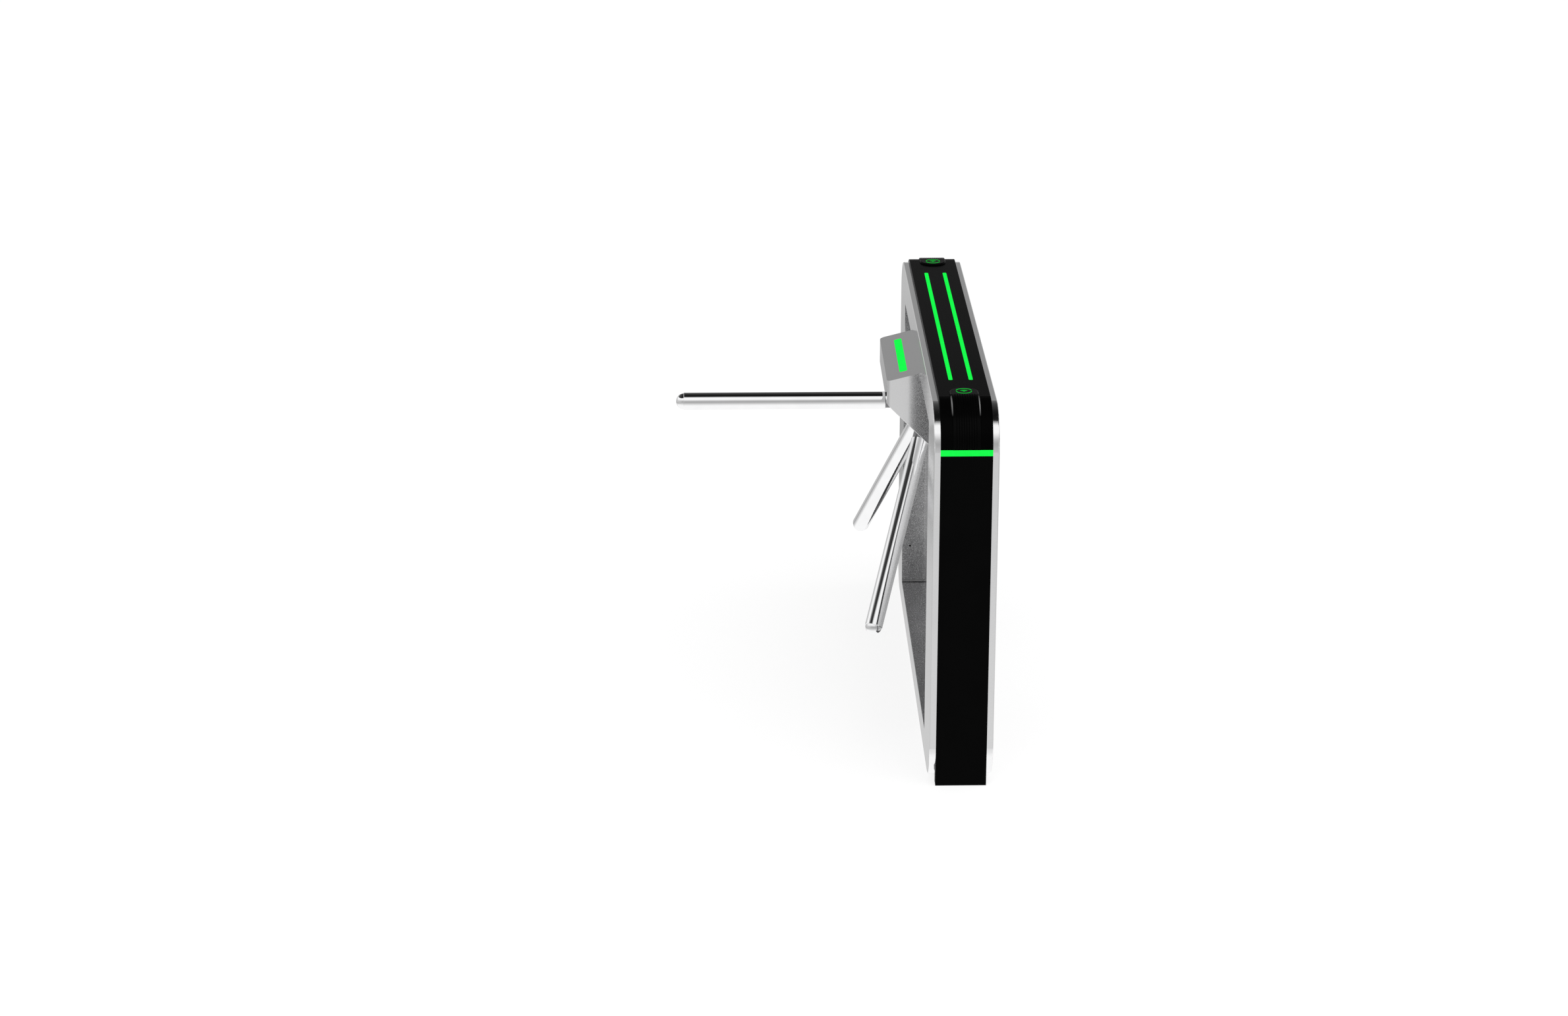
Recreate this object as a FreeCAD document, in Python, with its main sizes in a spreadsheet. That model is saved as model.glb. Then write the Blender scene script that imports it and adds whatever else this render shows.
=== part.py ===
import FreeCAD, Part
import math
import os
import re
import Sketcher

# Tripod turnstile: a slim floor-standing cabinet with a three-armed rotor on one side.
# Millimetres, +Z up, origin on the floor in the middle of the base. X runs across the
# cabinet, with the arms towards -X, and Y runs along its length.

SIZES = {
    # Cabinet
    "cabinet_length": 1484,
    "cabinet_width": 159,
    "core_width": 127,
    "top_height": 985,
    # Pressed steel sides
    "side_drop": 10,
    "side_skin": 2,
    "side_corner": 100,
    "side_edge": 3.5,
    "niche_end": 205,
    "niche_bottom": 67,
    "niche_rise": 111,
    "niche_depth": 63,
    "niche_corner": 6,
    "recess_end": 212,
    "recess_margin": 38,
    "recess_depth": 12,
    # Black end panels and light bands
    "front_recess": 2,
    "panel_skin": 2,
    "panel_flange": 30,
    "band_height": 15.5,
    "band_depth": 8,
    # Top cover, its light strips and the reader pads
    "cover_skin": 3,
    "cover_corner": 104,
    "cover_edge": 1.5,
    "cover_skirt": 30,
    "strip_width": 10,
    "strip_length": 1003,
    "strip_offset": 25,
    "strip_end": 4,
    "strip_proud": 0.4,
    "strip_lip": 2,
    "lip_thick": 1.5,
    "light_fit": 0.15,
    "board_thick": 1.6,
    "board_width": 8,
    "pad_width": 71,
    "pad_length": 161,
    "pad_height": 4.7,
    "pad_front": 0.8,
    "pad_end": 33,
    "pad_edge": 3.5,
    "rib_pitch": 6,
    "rib_gap": 1.6,
    "rib_depth": 0.5,
    "ring_place": 132,
    "ring_radius": 20,
    "ring_wall": 1.8,
    "ring_proud": 0.5,
    "ring_gap": 9,
    "reader_size": 50,
    # Base and inner frame
    "base_thick": 6,
    "base_width": 118,
    "anchor_across": 80,
    "anchor_along": 1200,
    "anchor_radius": 7,
    "cable_radius": 30,
    "grommet_wall": 5,
    "grommet_lip": 4,
    "grommet_fit": 0.1,
    "frame_skin": 3,
    "frame_flange": 25,
    "rail_width": 24,
    "rail_height": 30,
    "rail_skin": 2,
    "rail_overhang": 60,
    # Head housing over the mechanism
    "head_length": 397,
    "head_reach": 86.5,
    "head_rise": 133.7,
    "head_fall": 22,
    "head_skin": 2,
    "head_corner": 13,
    "head_tab_height": 110,
    "head_tab_gap": 1,
    "head_bolt_rise": 15,
    "head_bolt_pitch": 50,
    "window_margin": 49.5,
    "window_lap": 4,
    "bar_width": 20,
    "bar_length": 290,
    "bar_offset": 42,
    "bar_proud": 0.6,
    "bar_end": 5,
    "bar_seat": 0.5,
    # Tripod rotor
    "apex_drop": 208,
    "arm_wall_gap": 4,
    "face_offset": 51.8,
    "hub_radius": 82,
    "hub_gap": 2,
    "hub_back": 30,
    "hub_shoulder": 60,
    "nose_radius": 68,
    "pocket_radius": 28,
    "pocket_floor": 56,
    "arm_radius": 22.5,
    "arm_wall": 2,
    "arm_start": 117,
    "arm_end": 646.5,
    "arm_chamfer": 0.8,
    "boss_radius": 20.4,
    "spigot_length": 58,
    "arm_fit": 0.1,
    "dome_height": 20,
    "cap_lip": 0.6,
    "plug_length": 20,
    "screw_place": 12,
    "screw_radius": 3,
    "screw_depth": 5,
    "screw_fit": 0.15,
    # Shaft and bearings
    "shaft_radius": 15,
    "shaft_rear": 119,
    "collar_radius": 18,
    "running_fit": 0.05,
    "bearing_outer": 27.5,
    "bearing_width": 13,
    "barrel_length": 72,
    "barrel_wall": 8.5,
    "bore_step": 3.5,
    "flange_radius": 58,
    "flange_thick": 8,
    "face_gap": 0.5,
    "washer_radius": 24,
    "washer_thick": 4,
    "hub_bolt_radius": 6,
    "hub_bolt_head": 9.5,
    "hub_bolt_grip": 30,
    "cap_thick": 5,
    # Mechanism plate and cheeks
    "plate_thick": 8,
    "plate_up": 100,
    "plate_down": 100,
    "cheek_thick": 4,
    "cheek_width": 80,
    "cheek_height": 120,
    "cheek_drop": 90,
    "bolt_radius": 4,
    "bolt_head": 6.5,
    "bolt_head_thick": 5,
    "bolt_fit": 0.2,
    # Index disc, gear, damper and encoder on the shaft's rear end
    "disc_radius": 50,
    "disc_thick": 10,
    "disc_place": 80,
    "notch_width": 12,
    "notch_depth": 8,
    "gear_module": 2,
    "gear_width": 10,
    "gear_place": 96,
    "backlash": 0.4,
    "damper_radius": 22,
    "damper_length": 66,
    "neck_radius": 7,
    "stub_radius": 5,
    "stub_length": 40,
    "encoder_radius": 48,
    "encoder_thick": 2,
    "encoder_place": 115,
    "sensor_slot": 3,
    "sensor_width": 14,
    "post_radius": 4,
    # Lock pawls and their solenoids
    "pawl_thick": 8,
    "pawl_radius": 8,
    "pawl_reach": 40,
    "pawl_gap": 1.5,
    "tip_width": 5,
    "tail_length": 22,
    "tail_width": 8,
    "pin_radius": 4,
    "pin_shoulder": 6,
    "solenoid_width": 24,
    "solenoid_length": 45,
    "plunger_radius": 4,
    "coil_floor": 8,
    "plunger_room": 13.259,
    "plunger_gap": 0.6,
    # Electrics inside the rear bay
    "supply_gap": 5.5,
    "tray_length": 265,
    "tray_skin": 2,
    "tray_gap": 7,
    "tray_height": 430,
    "supply_length": 110,
    "supply_height": 160,
    "supply_depth": 38,
    "control_length": 190,
    "control_height": 160,
    "standoff_radius": 4,
    "standoff_length": 8,
    "terminal_length": 60,
    "terminal_height": 110,
    "terminal_depth": 22,
    "eye_radius": 2,
    "eye_lip": 0.6,
    "eye_height": 175,
    "eye_inset": 36.7,
    "eye_length": 14,
}

# Counts and angles that the geometry rests on
AXIS_TILT = 45
ARM_ANGLES = (0, 120, 240)
GEAR_TEETH = 48
PINION_TEETH = 16
NOTCHES = 12
RIBS = 9
DAMPER_ANGLE = 60
SENSOR_ANGLE = -60
PAWL_ANGLE = 30
OVERRUN = "1"

# Places worked out from the driving sizes
SIDE = "(cabinet_width / 2)"
CORE = "(core_width / 2)"
RIM = "((cabinet_width - core_width) / 2)"
HALF = "(cabinet_length / 2)"
END = "(cabinet_length / 2 - front_recess)"
NICHE_FLOOR = "(niche_depth - cabinet_width / 2)"
NICHE_BACK = "(niche_depth - cabinet_width / 2 + side_skin)"
NICHE_HALF = "(cabinet_length / 2 - niche_end)"
BAND_TOP = "(top_height - cover_corner)"
BAND_BOTTOM = "(top_height - cover_corner - band_height)"
COVER_UNDER = "(top_height - cover_skin)"
RAIL_BOTTOM = "(top_height - cover_skin - rail_height)"
WINDOW_HALF = "(head_length / 2 - window_margin)"
APEX_X = "(niche_depth - cabinet_width / 2 - arm_radius - arm_wall_gap)"
APEX_Z = "(top_height - apex_drop)"
NICHE_TOP = f"({APEX_Z} + niche_rise)"
HEAD_TOP = f"({APEX_Z} + head_rise)"
SIDE_HEIGHT = "(top_height - side_drop)"
FACE_SUM = f"({APEX_X} + {APEX_Z} - face_offset * sqrt(2))"
HEAD_X = "(-cabinet_width / 2 - head_reach)"
PAD_ARC = "(cover_corner + pad_height)"
PLATE_HALF = f"({WINDOW_HALF} - cheek_thick)"

X_AXIS = FreeCAD.Vector(1, 0, 0)
Y_AXIS = FreeCAD.Vector(0, 1, 0)
Z_AXIS = FreeCAD.Vector(0, 0, 1)
ORIGIN = FreeCAD.Vector(0, 0, 0)
TURNS = {
    "x": FreeCAD.Rotation(Y_AXIS, 90),
    "y": FreeCAD.Rotation(X_AXIS, -90),
    "z": FreeCAD.Rotation(),
}
MECHANISM = FreeCAD.Rotation(Y_AXIS, 180 + AXIS_TILT)

doc = FreeCAD.newDocument("tripod_turnstile")
sheet = doc.addObject("Spreadsheet::Sheet", "Sheet")
for row, (name, size) in enumerate(SIZES.items(), start=1):
    sheet.set(f"A{row}", name)
    sheet.set(f"B{row}", str(size))
    sheet.setAlias(f"B{row}", name)
doc.recompute()

WORD = re.compile(r"[a-z_]+")
NODES = []


def mm(name):
    return float(sheet.get(name))


def bind(piece, prop, text):
    cell = WORD.sub(lambda m: "Sheet." + m.group() if m.group() in SIZES else m.group(), text)
    piece.setExpression(prop, cell)


def put(piece, at, turn=None):
    if turn is not None:
        piece.Placement = FreeCAD.Placement(ORIGIN, turn)
    for axis, text in zip("xyz", at):
        bind(piece, "Placement.Base." + axis, text)
    return piece


def node(piece, label):
    piece.Label = label
    NODES.append(piece)
    return piece


# Solids from primitives


def block(name, size, at):
    piece = doc.addObject("Part::Box", name)
    for prop, text in zip(("Length", "Width", "Height"), size):
        bind(piece, prop, text)
    return put(piece, at)


def rod(name, radius, length, at, along="z"):
    piece = doc.addObject("Part::Cylinder", name)
    bind(piece, "Radius", radius)
    bind(piece, "Height", length)
    return put(piece, at, TURNS[along])


def fuse(name, pieces):
    piece = doc.addObject("Part::MultiFuse", name)
    piece.Shapes = pieces
    piece.Refine = True
    return piece


def group(name, pieces):
    piece = doc.addObject("Part::Compound", name)
    piece.Links = pieces
    return piece


def cut(name, base, tools):
    piece = doc.addObject("Part::Cut", name)
    piece.Base = base
    piece.Tool = tools[0] if len(tools) == 1 else fuse(name + "_tools", tools)
    piece.Refine = True
    return piece


def common(name, base, tool):
    piece = doc.addObject("Part::Common", name)
    piece.Base = base
    piece.Tool = tool
    return piece


def mirrored(name, source):
    piece = doc.addObject("Part::Mirroring", name)
    piece.Source = source
    piece.Base = ORIGIN
    piece.Normal = Y_AXIS
    return piece


def rounded(name, base, radius, pick):
    doc.recompute()
    piece = doc.addObject("Part::Fillet", name)
    piece.Base = base
    edges = enumerate(base.Shape.Edges, start=1)
    piece.Edges = [(number, radius, radius) for number, edge in edges if pick(edge)]
    return piece


def runs_along(axis):
    lengths = {"x": ("YLength", "ZLength"), "y": ("XLength", "ZLength"), "z": ("XLength", "YLength")}

    def pick(edge):
        return all(getattr(edge.BoundBox, name) < 1e-6 for name in lengths[axis])
    return pick


# Bodies from sketches


def origin_part(body, role):
    return next(part for part in body.Origin.OriginFeatures if part.Role == role)


def new_sketch(body, name, plane):
    sketch = body.newObject("Sketcher::SketchObject", name)
    sketch.AttachmentSupport = (origin_part(body, plane), [""])
    sketch.MapMode = "FlatFace"
    return sketch


def set_size(sketch, kind, place, value, text):
    number = sketch.addConstraint(Sketcher.Constraint(kind, *place, value))
    label = f"size{number}"
    sketch.renameConstraint(number, label)
    bind(sketch, "Constraints." + label, text)


def draw_outline(sketch, points):
    count = len(points)
    turn = 2 * math.pi / count
    start = [FreeCAD.Vector(math.cos(turn * i), math.sin(turn * i), 0) * 100 for i in range(count)]
    for i in range(count):
        sketch.addGeometry(Part.LineSegment(start[i], start[(i + 1) % count]), False)
    for i in range(count):
        sketch.addConstraint(Sketcher.Constraint("Coincident", i, 2, (i + 1) % count, 1))
    for i, (across, up) in enumerate(points):
        set_size(sketch, "DistanceX", (-1, 1, i, 1), start[i].x, across)
        set_size(sketch, "DistanceY", (-1, 1, i, 1), start[i].y, up)


def draw_circle(sketch, radius, start=10):
    number = sketch.addGeometry(Part.Circle(ORIGIN, Z_AXIS, start), False)
    sketch.addConstraint(Sketcher.Constraint("Coincident", number, 3, -1, 1))
    set_size(sketch, "Radius", (number,), start, radius)


def prism(name, points, width):
    body = doc.addObject("PartDesign::Body", name)
    sketch = new_sketch(body, name + "_outline", "XZ_Plane")
    draw_outline(sketch, points)
    pad = body.newObject("PartDesign::Pad", name + "_pad")
    pad.Profile = sketch
    pad.SideType = "Symmetric"
    bind(pad, "Length", width)
    return body


def turned(name, points):
    body = doc.addObject("PartDesign::Body", name)
    sketch = new_sketch(body, name + "_profile", "XZ_Plane")
    draw_outline(sketch, points)
    turn = body.newObject("PartDesign::Revolution", name + "_turn")
    turn.Profile = sketch
    turn.ReferenceAxis = (origin_part(body, "Z_Axis"), [""])
    turn.Angle = 360
    return body


def plate(name, points, start, thick):
    body = doc.addObject("PartDesign::Body", name)
    sketch = new_sketch(body, name + "_outline", "XY_Plane")
    draw_outline(sketch, points)
    pad = body.newObject("PartDesign::Pad", name + "_pad")
    pad.Profile = sketch
    bind(pad, "Length", thick)
    bind(sketch, "AttachmentOffset.Base.z", start)
    return body


def wheel(name, radius, start, thick, points, copies, cutting):
    body = doc.addObject("PartDesign::Body", name)
    rim = new_sketch(body, name + "_rim", "XY_Plane")
    draw_circle(rim, radius)
    draw_circle(rim, "shaft_radius + running_fit", 5)
    bind(rim, "AttachmentOffset.Base.z", start)
    disc = body.newObject("PartDesign::Pad", name + "_disc")
    disc.Profile = rim
    bind(disc, "Length", thick)
    doc.recompute()
    whole = body.Shape.Volume
    sketch = new_sketch(body, name + "_tooth_outline", "XY_Plane")
    draw_outline(sketch, points)
    bind(sketch, "AttachmentOffset.Base.z", start)
    kind = "PartDesign::Pocket" if cutting else "PartDesign::Pad"
    tooth = body.newObject(kind, name + "_tooth")
    tooth.Profile = sketch
    bind(tooth, "Length", thick)
    tooth.Reversed = cutting
    pattern = body.newObject("PartDesign::PolarPattern", name + "_ring")
    pattern.Originals = [tooth]
    pattern.Axis = (origin_part(body, "Z_Axis"), [""])
    pattern.Angle = 360
    pattern.Occurrences = copies
    body.Tip = pattern
    doc.recompute()
    if (body.Shape.Volume < whole) != cutting:
        raise RuntimeError(name + ": the teeth or notches point the wrong way")
    return body


# Places on the rotor's axis. Along it, distances count outwards from the apex where the arms meet.


def on_axis(piece):
    return put(piece, (APEX_X, "0", APEX_Z), MECHANISM)


def arm_turn(angle):
    return FreeCAD.Rotation(Z_AXIS, angle) * FreeCAD.Rotation(Y_AXIS, AXIS_TILT)


def on_arm(piece, angle):
    return put(piece, (APEX_X, "0", APEX_Z), MECHANISM * arm_turn(angle))


# Fasteners: a head and a shank made along Z, set on the piece that the head presses


def bolts(name, places, along, grip):
    pieces = []
    for number, at in enumerate(places):
        head = rod(f"{name}_head_{number}", "bolt_head", "bolt_head_thick", ("0", "0", "0"))
        shank = rod(f"{name}_shank_{number}", "bolt_radius", grip, ("0", "0", f"-({grip})"))
        pieces.append(put(fuse(f"{name}_{number}", [head, shank]), at, along))
    return pieces


def bolt_holes(name, places, along, depth):
    pieces = []
    for number, at in enumerate(places):
        hole = rod(f"{name}_{number}", "bolt_radius + bolt_fit", depth, ("0", "0", f"-({depth}) / 2"))
        pieces.append(put(group(f"{name}_set_{number}", [hole]), at, along))
    return pieces


# Pressed steel sides: a rounded tray with the hollows pressed into its face


def side_panel(name, side, hollows):
    outer_face = f"{side} * {SIDE}"
    slab_at = f"-{SIDE}" if side < 0 else CORE
    slab = block(name + "_slab", (RIM, "cabinet_length", SIDE_HEIGHT), (slab_at, f"-{HALF}", "0"))
    slab = rounded(name + "_corners", slab, mm("side_corner"), runs_along("x"))
    face_x = side * mm("cabinet_width") / 2
    slab = rounded(name + "_edges", slab, mm("side_edge"), lambda edge: on_plane(edge, face_x))
    inside_at = f"side_skin - {SIDE}" if side < 0 else f"{CORE} - {OVERRUN}"
    inside = block(
        name + "_inside",
        (f"{RIM} - side_skin + {OVERRUN}", "cabinet_length - 2 * side_skin", f"{SIDE_HEIGHT} - 2 * side_skin"),
        (inside_at, f"side_skin - {HALF}", "side_skin"),
    )
    inside_corner = mm("side_corner") - mm("side_skin")
    inside = rounded(name + "_inside_corners", inside, inside_corner, runs_along("x"))
    tray = cut(name + "_tray", slab, [inside])
    walls = []
    spaces = []
    for number, (low, high, depth) in enumerate(hollows):
        wall_at = f"side_skin - {SIDE}" if side < 0 else f"{SIDE} - side_skin - ({depth})"
        wall = block(
            f"{name}_wall_{number}",
            (depth, f"({high}) - ({low}) + 2 * side_skin", f"{NICHE_TOP} - niche_bottom + 2 * side_skin"),
            (wall_at, f"{low} - side_skin", "niche_bottom - side_skin"),
        )
        corner = mm("niche_corner") + mm("side_skin")
        walls.append(rounded(f"{name}_wall_corners_{number}", wall, corner, runs_along("x")))
        space_at = f"{outer_face} - {OVERRUN}" if side < 0 else f"{SIDE} - ({depth})"
        space = block(
            f"{name}_space_{number}",
            (f"{depth} + {OVERRUN}", f"({high}) - ({low})", f"{NICHE_TOP} - niche_bottom"),
            (space_at, low, "niche_bottom"),
        )
        spaces.append(rounded(f"{name}_space_corners_{number}", space, mm("niche_corner"), runs_along("x")))
    return fuse(name + "_pressing", [tray] + walls), spaces


def on_plane(edge, place):
    return abs(edge.BoundBox.XMin - place) < 1e-6 and abs(edge.BoundBox.XMax - place) < 1e-6


HEAD_BOLT_Z = (f"{APEX_Z} + head_bolt_rise", f"{APEX_Z} + head_bolt_rise + head_bolt_pitch")
HEAD_BOLT_Y = f"({WINDOW_HALF} + head_tab_gap + frame_flange / 2)"
HEAD_BOLT_AT = [
    (f"{NICHE_FLOOR} - head_skin", f"{sign} * {HEAD_BOLT_Y}", height)
    for sign in (-1, 1)
    for height in HEAD_BOLT_Z
]
FACING_LEFT = FreeCAD.Rotation(Y_AXIS, -90)

pressing, spaces = side_panel("left_side", -1, [(f"-{NICHE_HALF}", NICHE_HALF, "niche_depth")])
WINDOW_LOW = f"({FACE_SUM} - {NICHE_FLOOR} + window_lap)"
window = block(
    "mechanism_window",
    (f"side_skin + 2 * {OVERRUN}", f"2 * {WINDOW_HALF}", f"{NICHE_TOP} - window_lap - {WINDOW_LOW}"),
    (f"{NICHE_FLOOR} - {OVERRUN}", f"-{WINDOW_HALF}", WINDOW_LOW),
)
EYE_X = f"({NICHE_FLOOR} - side_skin - eye_inset - eye_radius)"
eye_hole = rod(
    "eye_hole",
    "eye_radius + screw_fit",
    f"side_skin + 2 * {OVERRUN}",
    (EYE_X, f"{NICHE_HALF} - {OVERRUN}", "eye_height"),
    "y",
)
panel_holes = bolt_holes("panel_bolt_hole", HEAD_BOLT_AT, FACING_LEFT, "4 * side_skin + 2 * frame_skin")
left_side = cut("left_side", pressing, spaces + [window, eye_hole] + panel_holes)
node(left_side, "left_side_panel")

RECESS_OUT = f"({HALF} - recess_end)"
RECESS_IN = f"({WINDOW_HALF} + frame_flange + recess_margin)"
pressing, spaces = side_panel(
    "right_side",
    1,
    [(f"-{RECESS_OUT}", f"-{RECESS_IN}", "recess_depth"), (RECESS_IN, RECESS_OUT, "recess_depth")],
)
node(cut("right_side", pressing, spaces), "right_side_panel")

# Small sensor eye through the niche's rear wall, with its lip on the niche side

eye = turned(
    "eye_body",
    [
        ("0", "-eye_lip"),
        ("eye_radius + eye_lip", "-eye_lip"),
        ("eye_radius + eye_lip", "0"),
        ("eye_radius", "0"),
        ("eye_radius", "eye_length"),
        ("0", "eye_length"),
    ],
)
node(put(eye, (EYE_X, NICHE_HALF, "eye_height"), TURNS["y"]), "sensor_eye")

# Base plate with anchor holes, and the grommet that lines its cable hole

PLATE_END = f"({END} - panel_skin)"
slab = block(
    "base_slab",
    ("base_width", f"2 * {PLATE_END}", "base_thick"),
    ("-base_width / 2", f"-{PLATE_END}", "0"),
)
drills = [rod("cable_hole", "cable_radius", f"base_thick + 2 * {OVERRUN}", ("0", "0", f"-{OVERRUN}"))]
for number, (across, along) in enumerate(((-1, -1), (-1, 1), (1, -1), (1, 1))):
    drills.append(
        rod(
            f"anchor_hole_{number}",
            "anchor_radius",
            f"base_thick + 2 * {OVERRUN}",
            (f"{across} * anchor_across / 2", f"{along} * anchor_along / 2", f"-{OVERRUN}"),
        )
    )
node(cut("base", slab, drills), "base_plate")

grommet = turned(
    "grommet",
    [
        ("cable_radius - grommet_wall", "0"),
        ("cable_radius - grommet_fit", "0"),
        ("cable_radius - grommet_fit", "base_thick"),
        ("cable_radius + grommet_lip", "base_thick"),
        ("cable_radius + grommet_lip", "base_thick + grommet_lip"),
        ("cable_radius - grommet_wall", "base_thick + grommet_lip"),
    ],
)
node(grommet, "cable_grommet")

# Inner frame: four folded bulkheads on the base plate, with a rail along their tops


def bulkhead(name, toward, face, right_face, holes):
    width = f"{right_face} - {NICHE_BACK}"
    height = f"{RAIL_BOTTOM} - base_thick"
    low = face if toward > 0 else f"{face} - frame_flange"
    solid = block(name + "_fold", (width, "frame_flange", height), (NICHE_BACK, low, "base_thick"))
    open_low = f"{low} + frame_skin" if toward > 0 else f"{low} - {OVERRUN}"
    opening = block(
        name + "_open",
        (f"{width} - 2 * frame_skin", f"frame_flange - frame_skin + {OVERRUN}", f"{height} + 2 * {OVERRUN}"),
        (f"{NICHE_BACK} + frame_skin", open_low, f"base_thick - {OVERRUN}"),
    )
    return node(cut(name + "_channel", solid, [opening] + holes), name)


CHEEK_LOW = f"({APEX_Z} - cheek_drop)"
CHEEK_BOLT_AT = (
    (f"{NICHE_BACK} + cheek_width / 4", f"{CHEEK_LOW} + cheek_height / 10"),
    (f"{NICHE_BACK} + cheek_width * 3 / 4", f"{CHEEK_LOW} + cheek_height * 9 / 10"),
)
TOWARDS_FRONT = FreeCAD.Rotation(X_AXIS, 90)
TOWARDS_REAR = FreeCAD.Rotation(X_AXIS, -90)
MID_RIGHT = f"({SIDE} - side_skin)"
END_RIGHT = f"({SIDE} - side_skin - recess_depth)"
END_FACE = f"({WINDOW_HALF} + frame_skin + tray_length)"
cheek_bolts = []
for word, sign, away in (("front", -1, TOWARDS_REAR), ("rear", 1, TOWARDS_FRONT)):
    cheek_at = [(x, f"{sign} * {PLATE_HALF}", z) for x, z in CHEEK_BOLT_AT]
    head_at = [at for at in HEAD_BOLT_AT if at[1].startswith(f"{sign} ")]
    holes = bolt_holes(f"{word}_cheek_bolt_hole", cheek_at, away, "4 * (cheek_thick + frame_skin)")
    holes += bolt_holes(f"{word}_tab_bolt_hole", head_at, FACING_LEFT, "4 * (side_skin + frame_skin)")
    bulkhead(f"{word}_mid_bulkhead", sign, f"{sign} * {WINDOW_HALF}", MID_RIGHT, holes)
    bulkhead(f"{word}_end_bulkhead", sign, f"{sign} * {END_FACE}", END_RIGHT, [])
    low = f"-{WINDOW_HALF}" if sign < 0 else PLATE_HALF
    cheek = block(
        f"{word}_cheek_blank", ("cheek_width", "cheek_thick", "cheek_height"), (NICHE_BACK, low, CHEEK_LOW)
    )
    holes = bolt_holes(f"{word}_cheek_hole", cheek_at, away, "4 * (cheek_thick + frame_skin)")
    node(cut(f"{word}_cheek_plate", cheek, holes), f"{word}_mechanism_cheek")
    cheek_bolts += bolts(f"{word}_cheek_bolt", cheek_at, away, "cheek_thick + 2 * frame_skin")
node(group("cheek_bolt_set", cheek_bolts), "cheek_bolts")

RAIL_HALF = f"({END_FACE} + rail_overhang)"
rail = block(
    "rail_tube",
    ("rail_width", f"2 * {RAIL_HALF}", "rail_height"),
    ("-rail_width / 2", f"-{RAIL_HALF}", RAIL_BOTTOM),
)
rail_inside = block(
    "rail_inside",
    ("rail_width - 2 * rail_skin", f"2 * {RAIL_HALF} + 2 * {OVERRUN}", "rail_height - 2 * rail_skin"),
    ("rail_skin - rail_width / 2", f"-{RAIL_HALF} - {OVERRUN}", f"{RAIL_BOTTOM} + rail_skin"),
)
node(cut("rail", rail, [rail_inside]), "top_rail")

# Black end panels: folded pans that stand on the floor, each with a light band on top

for word, sign in (("front", -1), ("rear", 1)):
    low = f"-{END}" if sign < 0 else f"{END} - panel_flange"
    pan = block(
        f"{word}_pan", ("core_width", "panel_flange", BAND_BOTTOM), (f"-{CORE}", low, "0")
    )
    open_low = f"-{END} + panel_skin" if sign < 0 else f"{END} - panel_flange - {OVERRUN}"
    pan_inside = block(
        f"{word}_pan_inside",
        (
            "core_width - 2 * panel_skin",
            f"panel_flange - panel_skin + {OVERRUN}",
            f"{BAND_BOTTOM} - panel_skin + {OVERRUN}",
        ),
        (f"panel_skin - {CORE}", open_low, f"-{OVERRUN}"),
    )
    node(cut(f"{word}_end_pan", pan, [pan_inside]), f"{word}_panel")
    low = f"-{END}" if sign < 0 else f"{END} - band_depth"
    band = block(f"{word}_band", ("core_width", "band_depth", "band_height"), (f"-{CORE}", low, BAND_BOTTOM))
    node(band, f"{word}_light_band")

# Top cover: one long lid that bends down over both ends to the light bands

COVER_BLANK_LOW = f"({BAND_TOP} - cover_skirt)"
blank = block(
    "cover_blank",
    ("core_width", f"2 * {END}", f"top_height - {COVER_BLANK_LOW}"),
    (f"-{CORE}", f"-{END}", COVER_BLANK_LOW),
)


def top_across(edge):
    return runs_along("x")(edge) and edge.BoundBox.ZMin > mm("top_height") - mm("cover_corner")


cover_outer = rounded("cover_outer", blank, mm("cover_corner"), top_across)
core_x = mm("core_width") / 2


def cover_rim(edge):
    return abs(abs(edge.CenterOfMass.x) - core_x) < 1e-6 and edge.BoundBox.ZMax > mm("top_height") - 1


cover_soft = rounded("cover_soft", cover_outer, mm("cover_edge"), cover_rim)
hollow = block(
    "cover_hollow_blank",
    (
        "core_width - 2 * cover_skin",
        f"2 * ({END} - cover_skin)",
        f"{COVER_UNDER} - {COVER_BLANK_LOW} + {OVERRUN}",
    ),
    (f"cover_skin - {CORE}", f"cover_skin - {END}", f"{COVER_BLANK_LOW} - {OVERRUN}"),
)
hollow = rounded("cover_hollow", hollow, mm("cover_corner") - mm("cover_skin"), top_across)
below = block(
    "cover_below",
    (f"core_width + 2 * {OVERRUN}", f"2 * {END} + 2 * {OVERRUN}", f"cover_skirt + {OVERRUN}"),
    (f"-{CORE} - {OVERRUN}", f"-{END} - {OVERRUN}", f"{COVER_BLANK_LOW} - {OVERRUN}"),
)
MIDDLE = f"({END} - cover_corner)"
middle = block(
    "cover_middle",
    (
        f"core_width + 2 * {OVERRUN}",
        f"2 * {MIDDLE}",
        f"top_height - cover_skirt - {COVER_BLANK_LOW}",
    ),
    (f"-{CORE} - {OVERRUN}", f"-{MIDDLE}", COVER_BLANK_LOW),
)


def strip(name, side, grow, low, height, corner):
    width = f"(strip_width + 2 * ({grow}))"
    length = f"(strip_length + 2 * ({grow}))"
    bar = block(
        name,
        (width, length, height),
        (f"{side} * strip_offset - {width} / 2", f"-{length} / 2", low),
    )
    return rounded(name + "_ends", bar, corner, runs_along("z"))


STRIP_LOW = f"({COVER_UNDER} - lip_thick)"
slots = []
for word, side in (("left", -1), ("right", 1)):
    slot_corner = mm("strip_end") + mm("light_fit")
    slots.append(
        strip(
            f"{word}_strip_slot",
            side,
            "light_fit",
            f"{COVER_UNDER} - {OVERRUN}",
            f"cover_skin + 2 * {OVERRUN}",
            slot_corner,
        )
    )
node(cut("cover", cover_soft, [hollow, below, middle] + slots), "top_cover")

# Green light strips: a bar in each slot with a wider lip under the cover, and a lamp board below it

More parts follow.
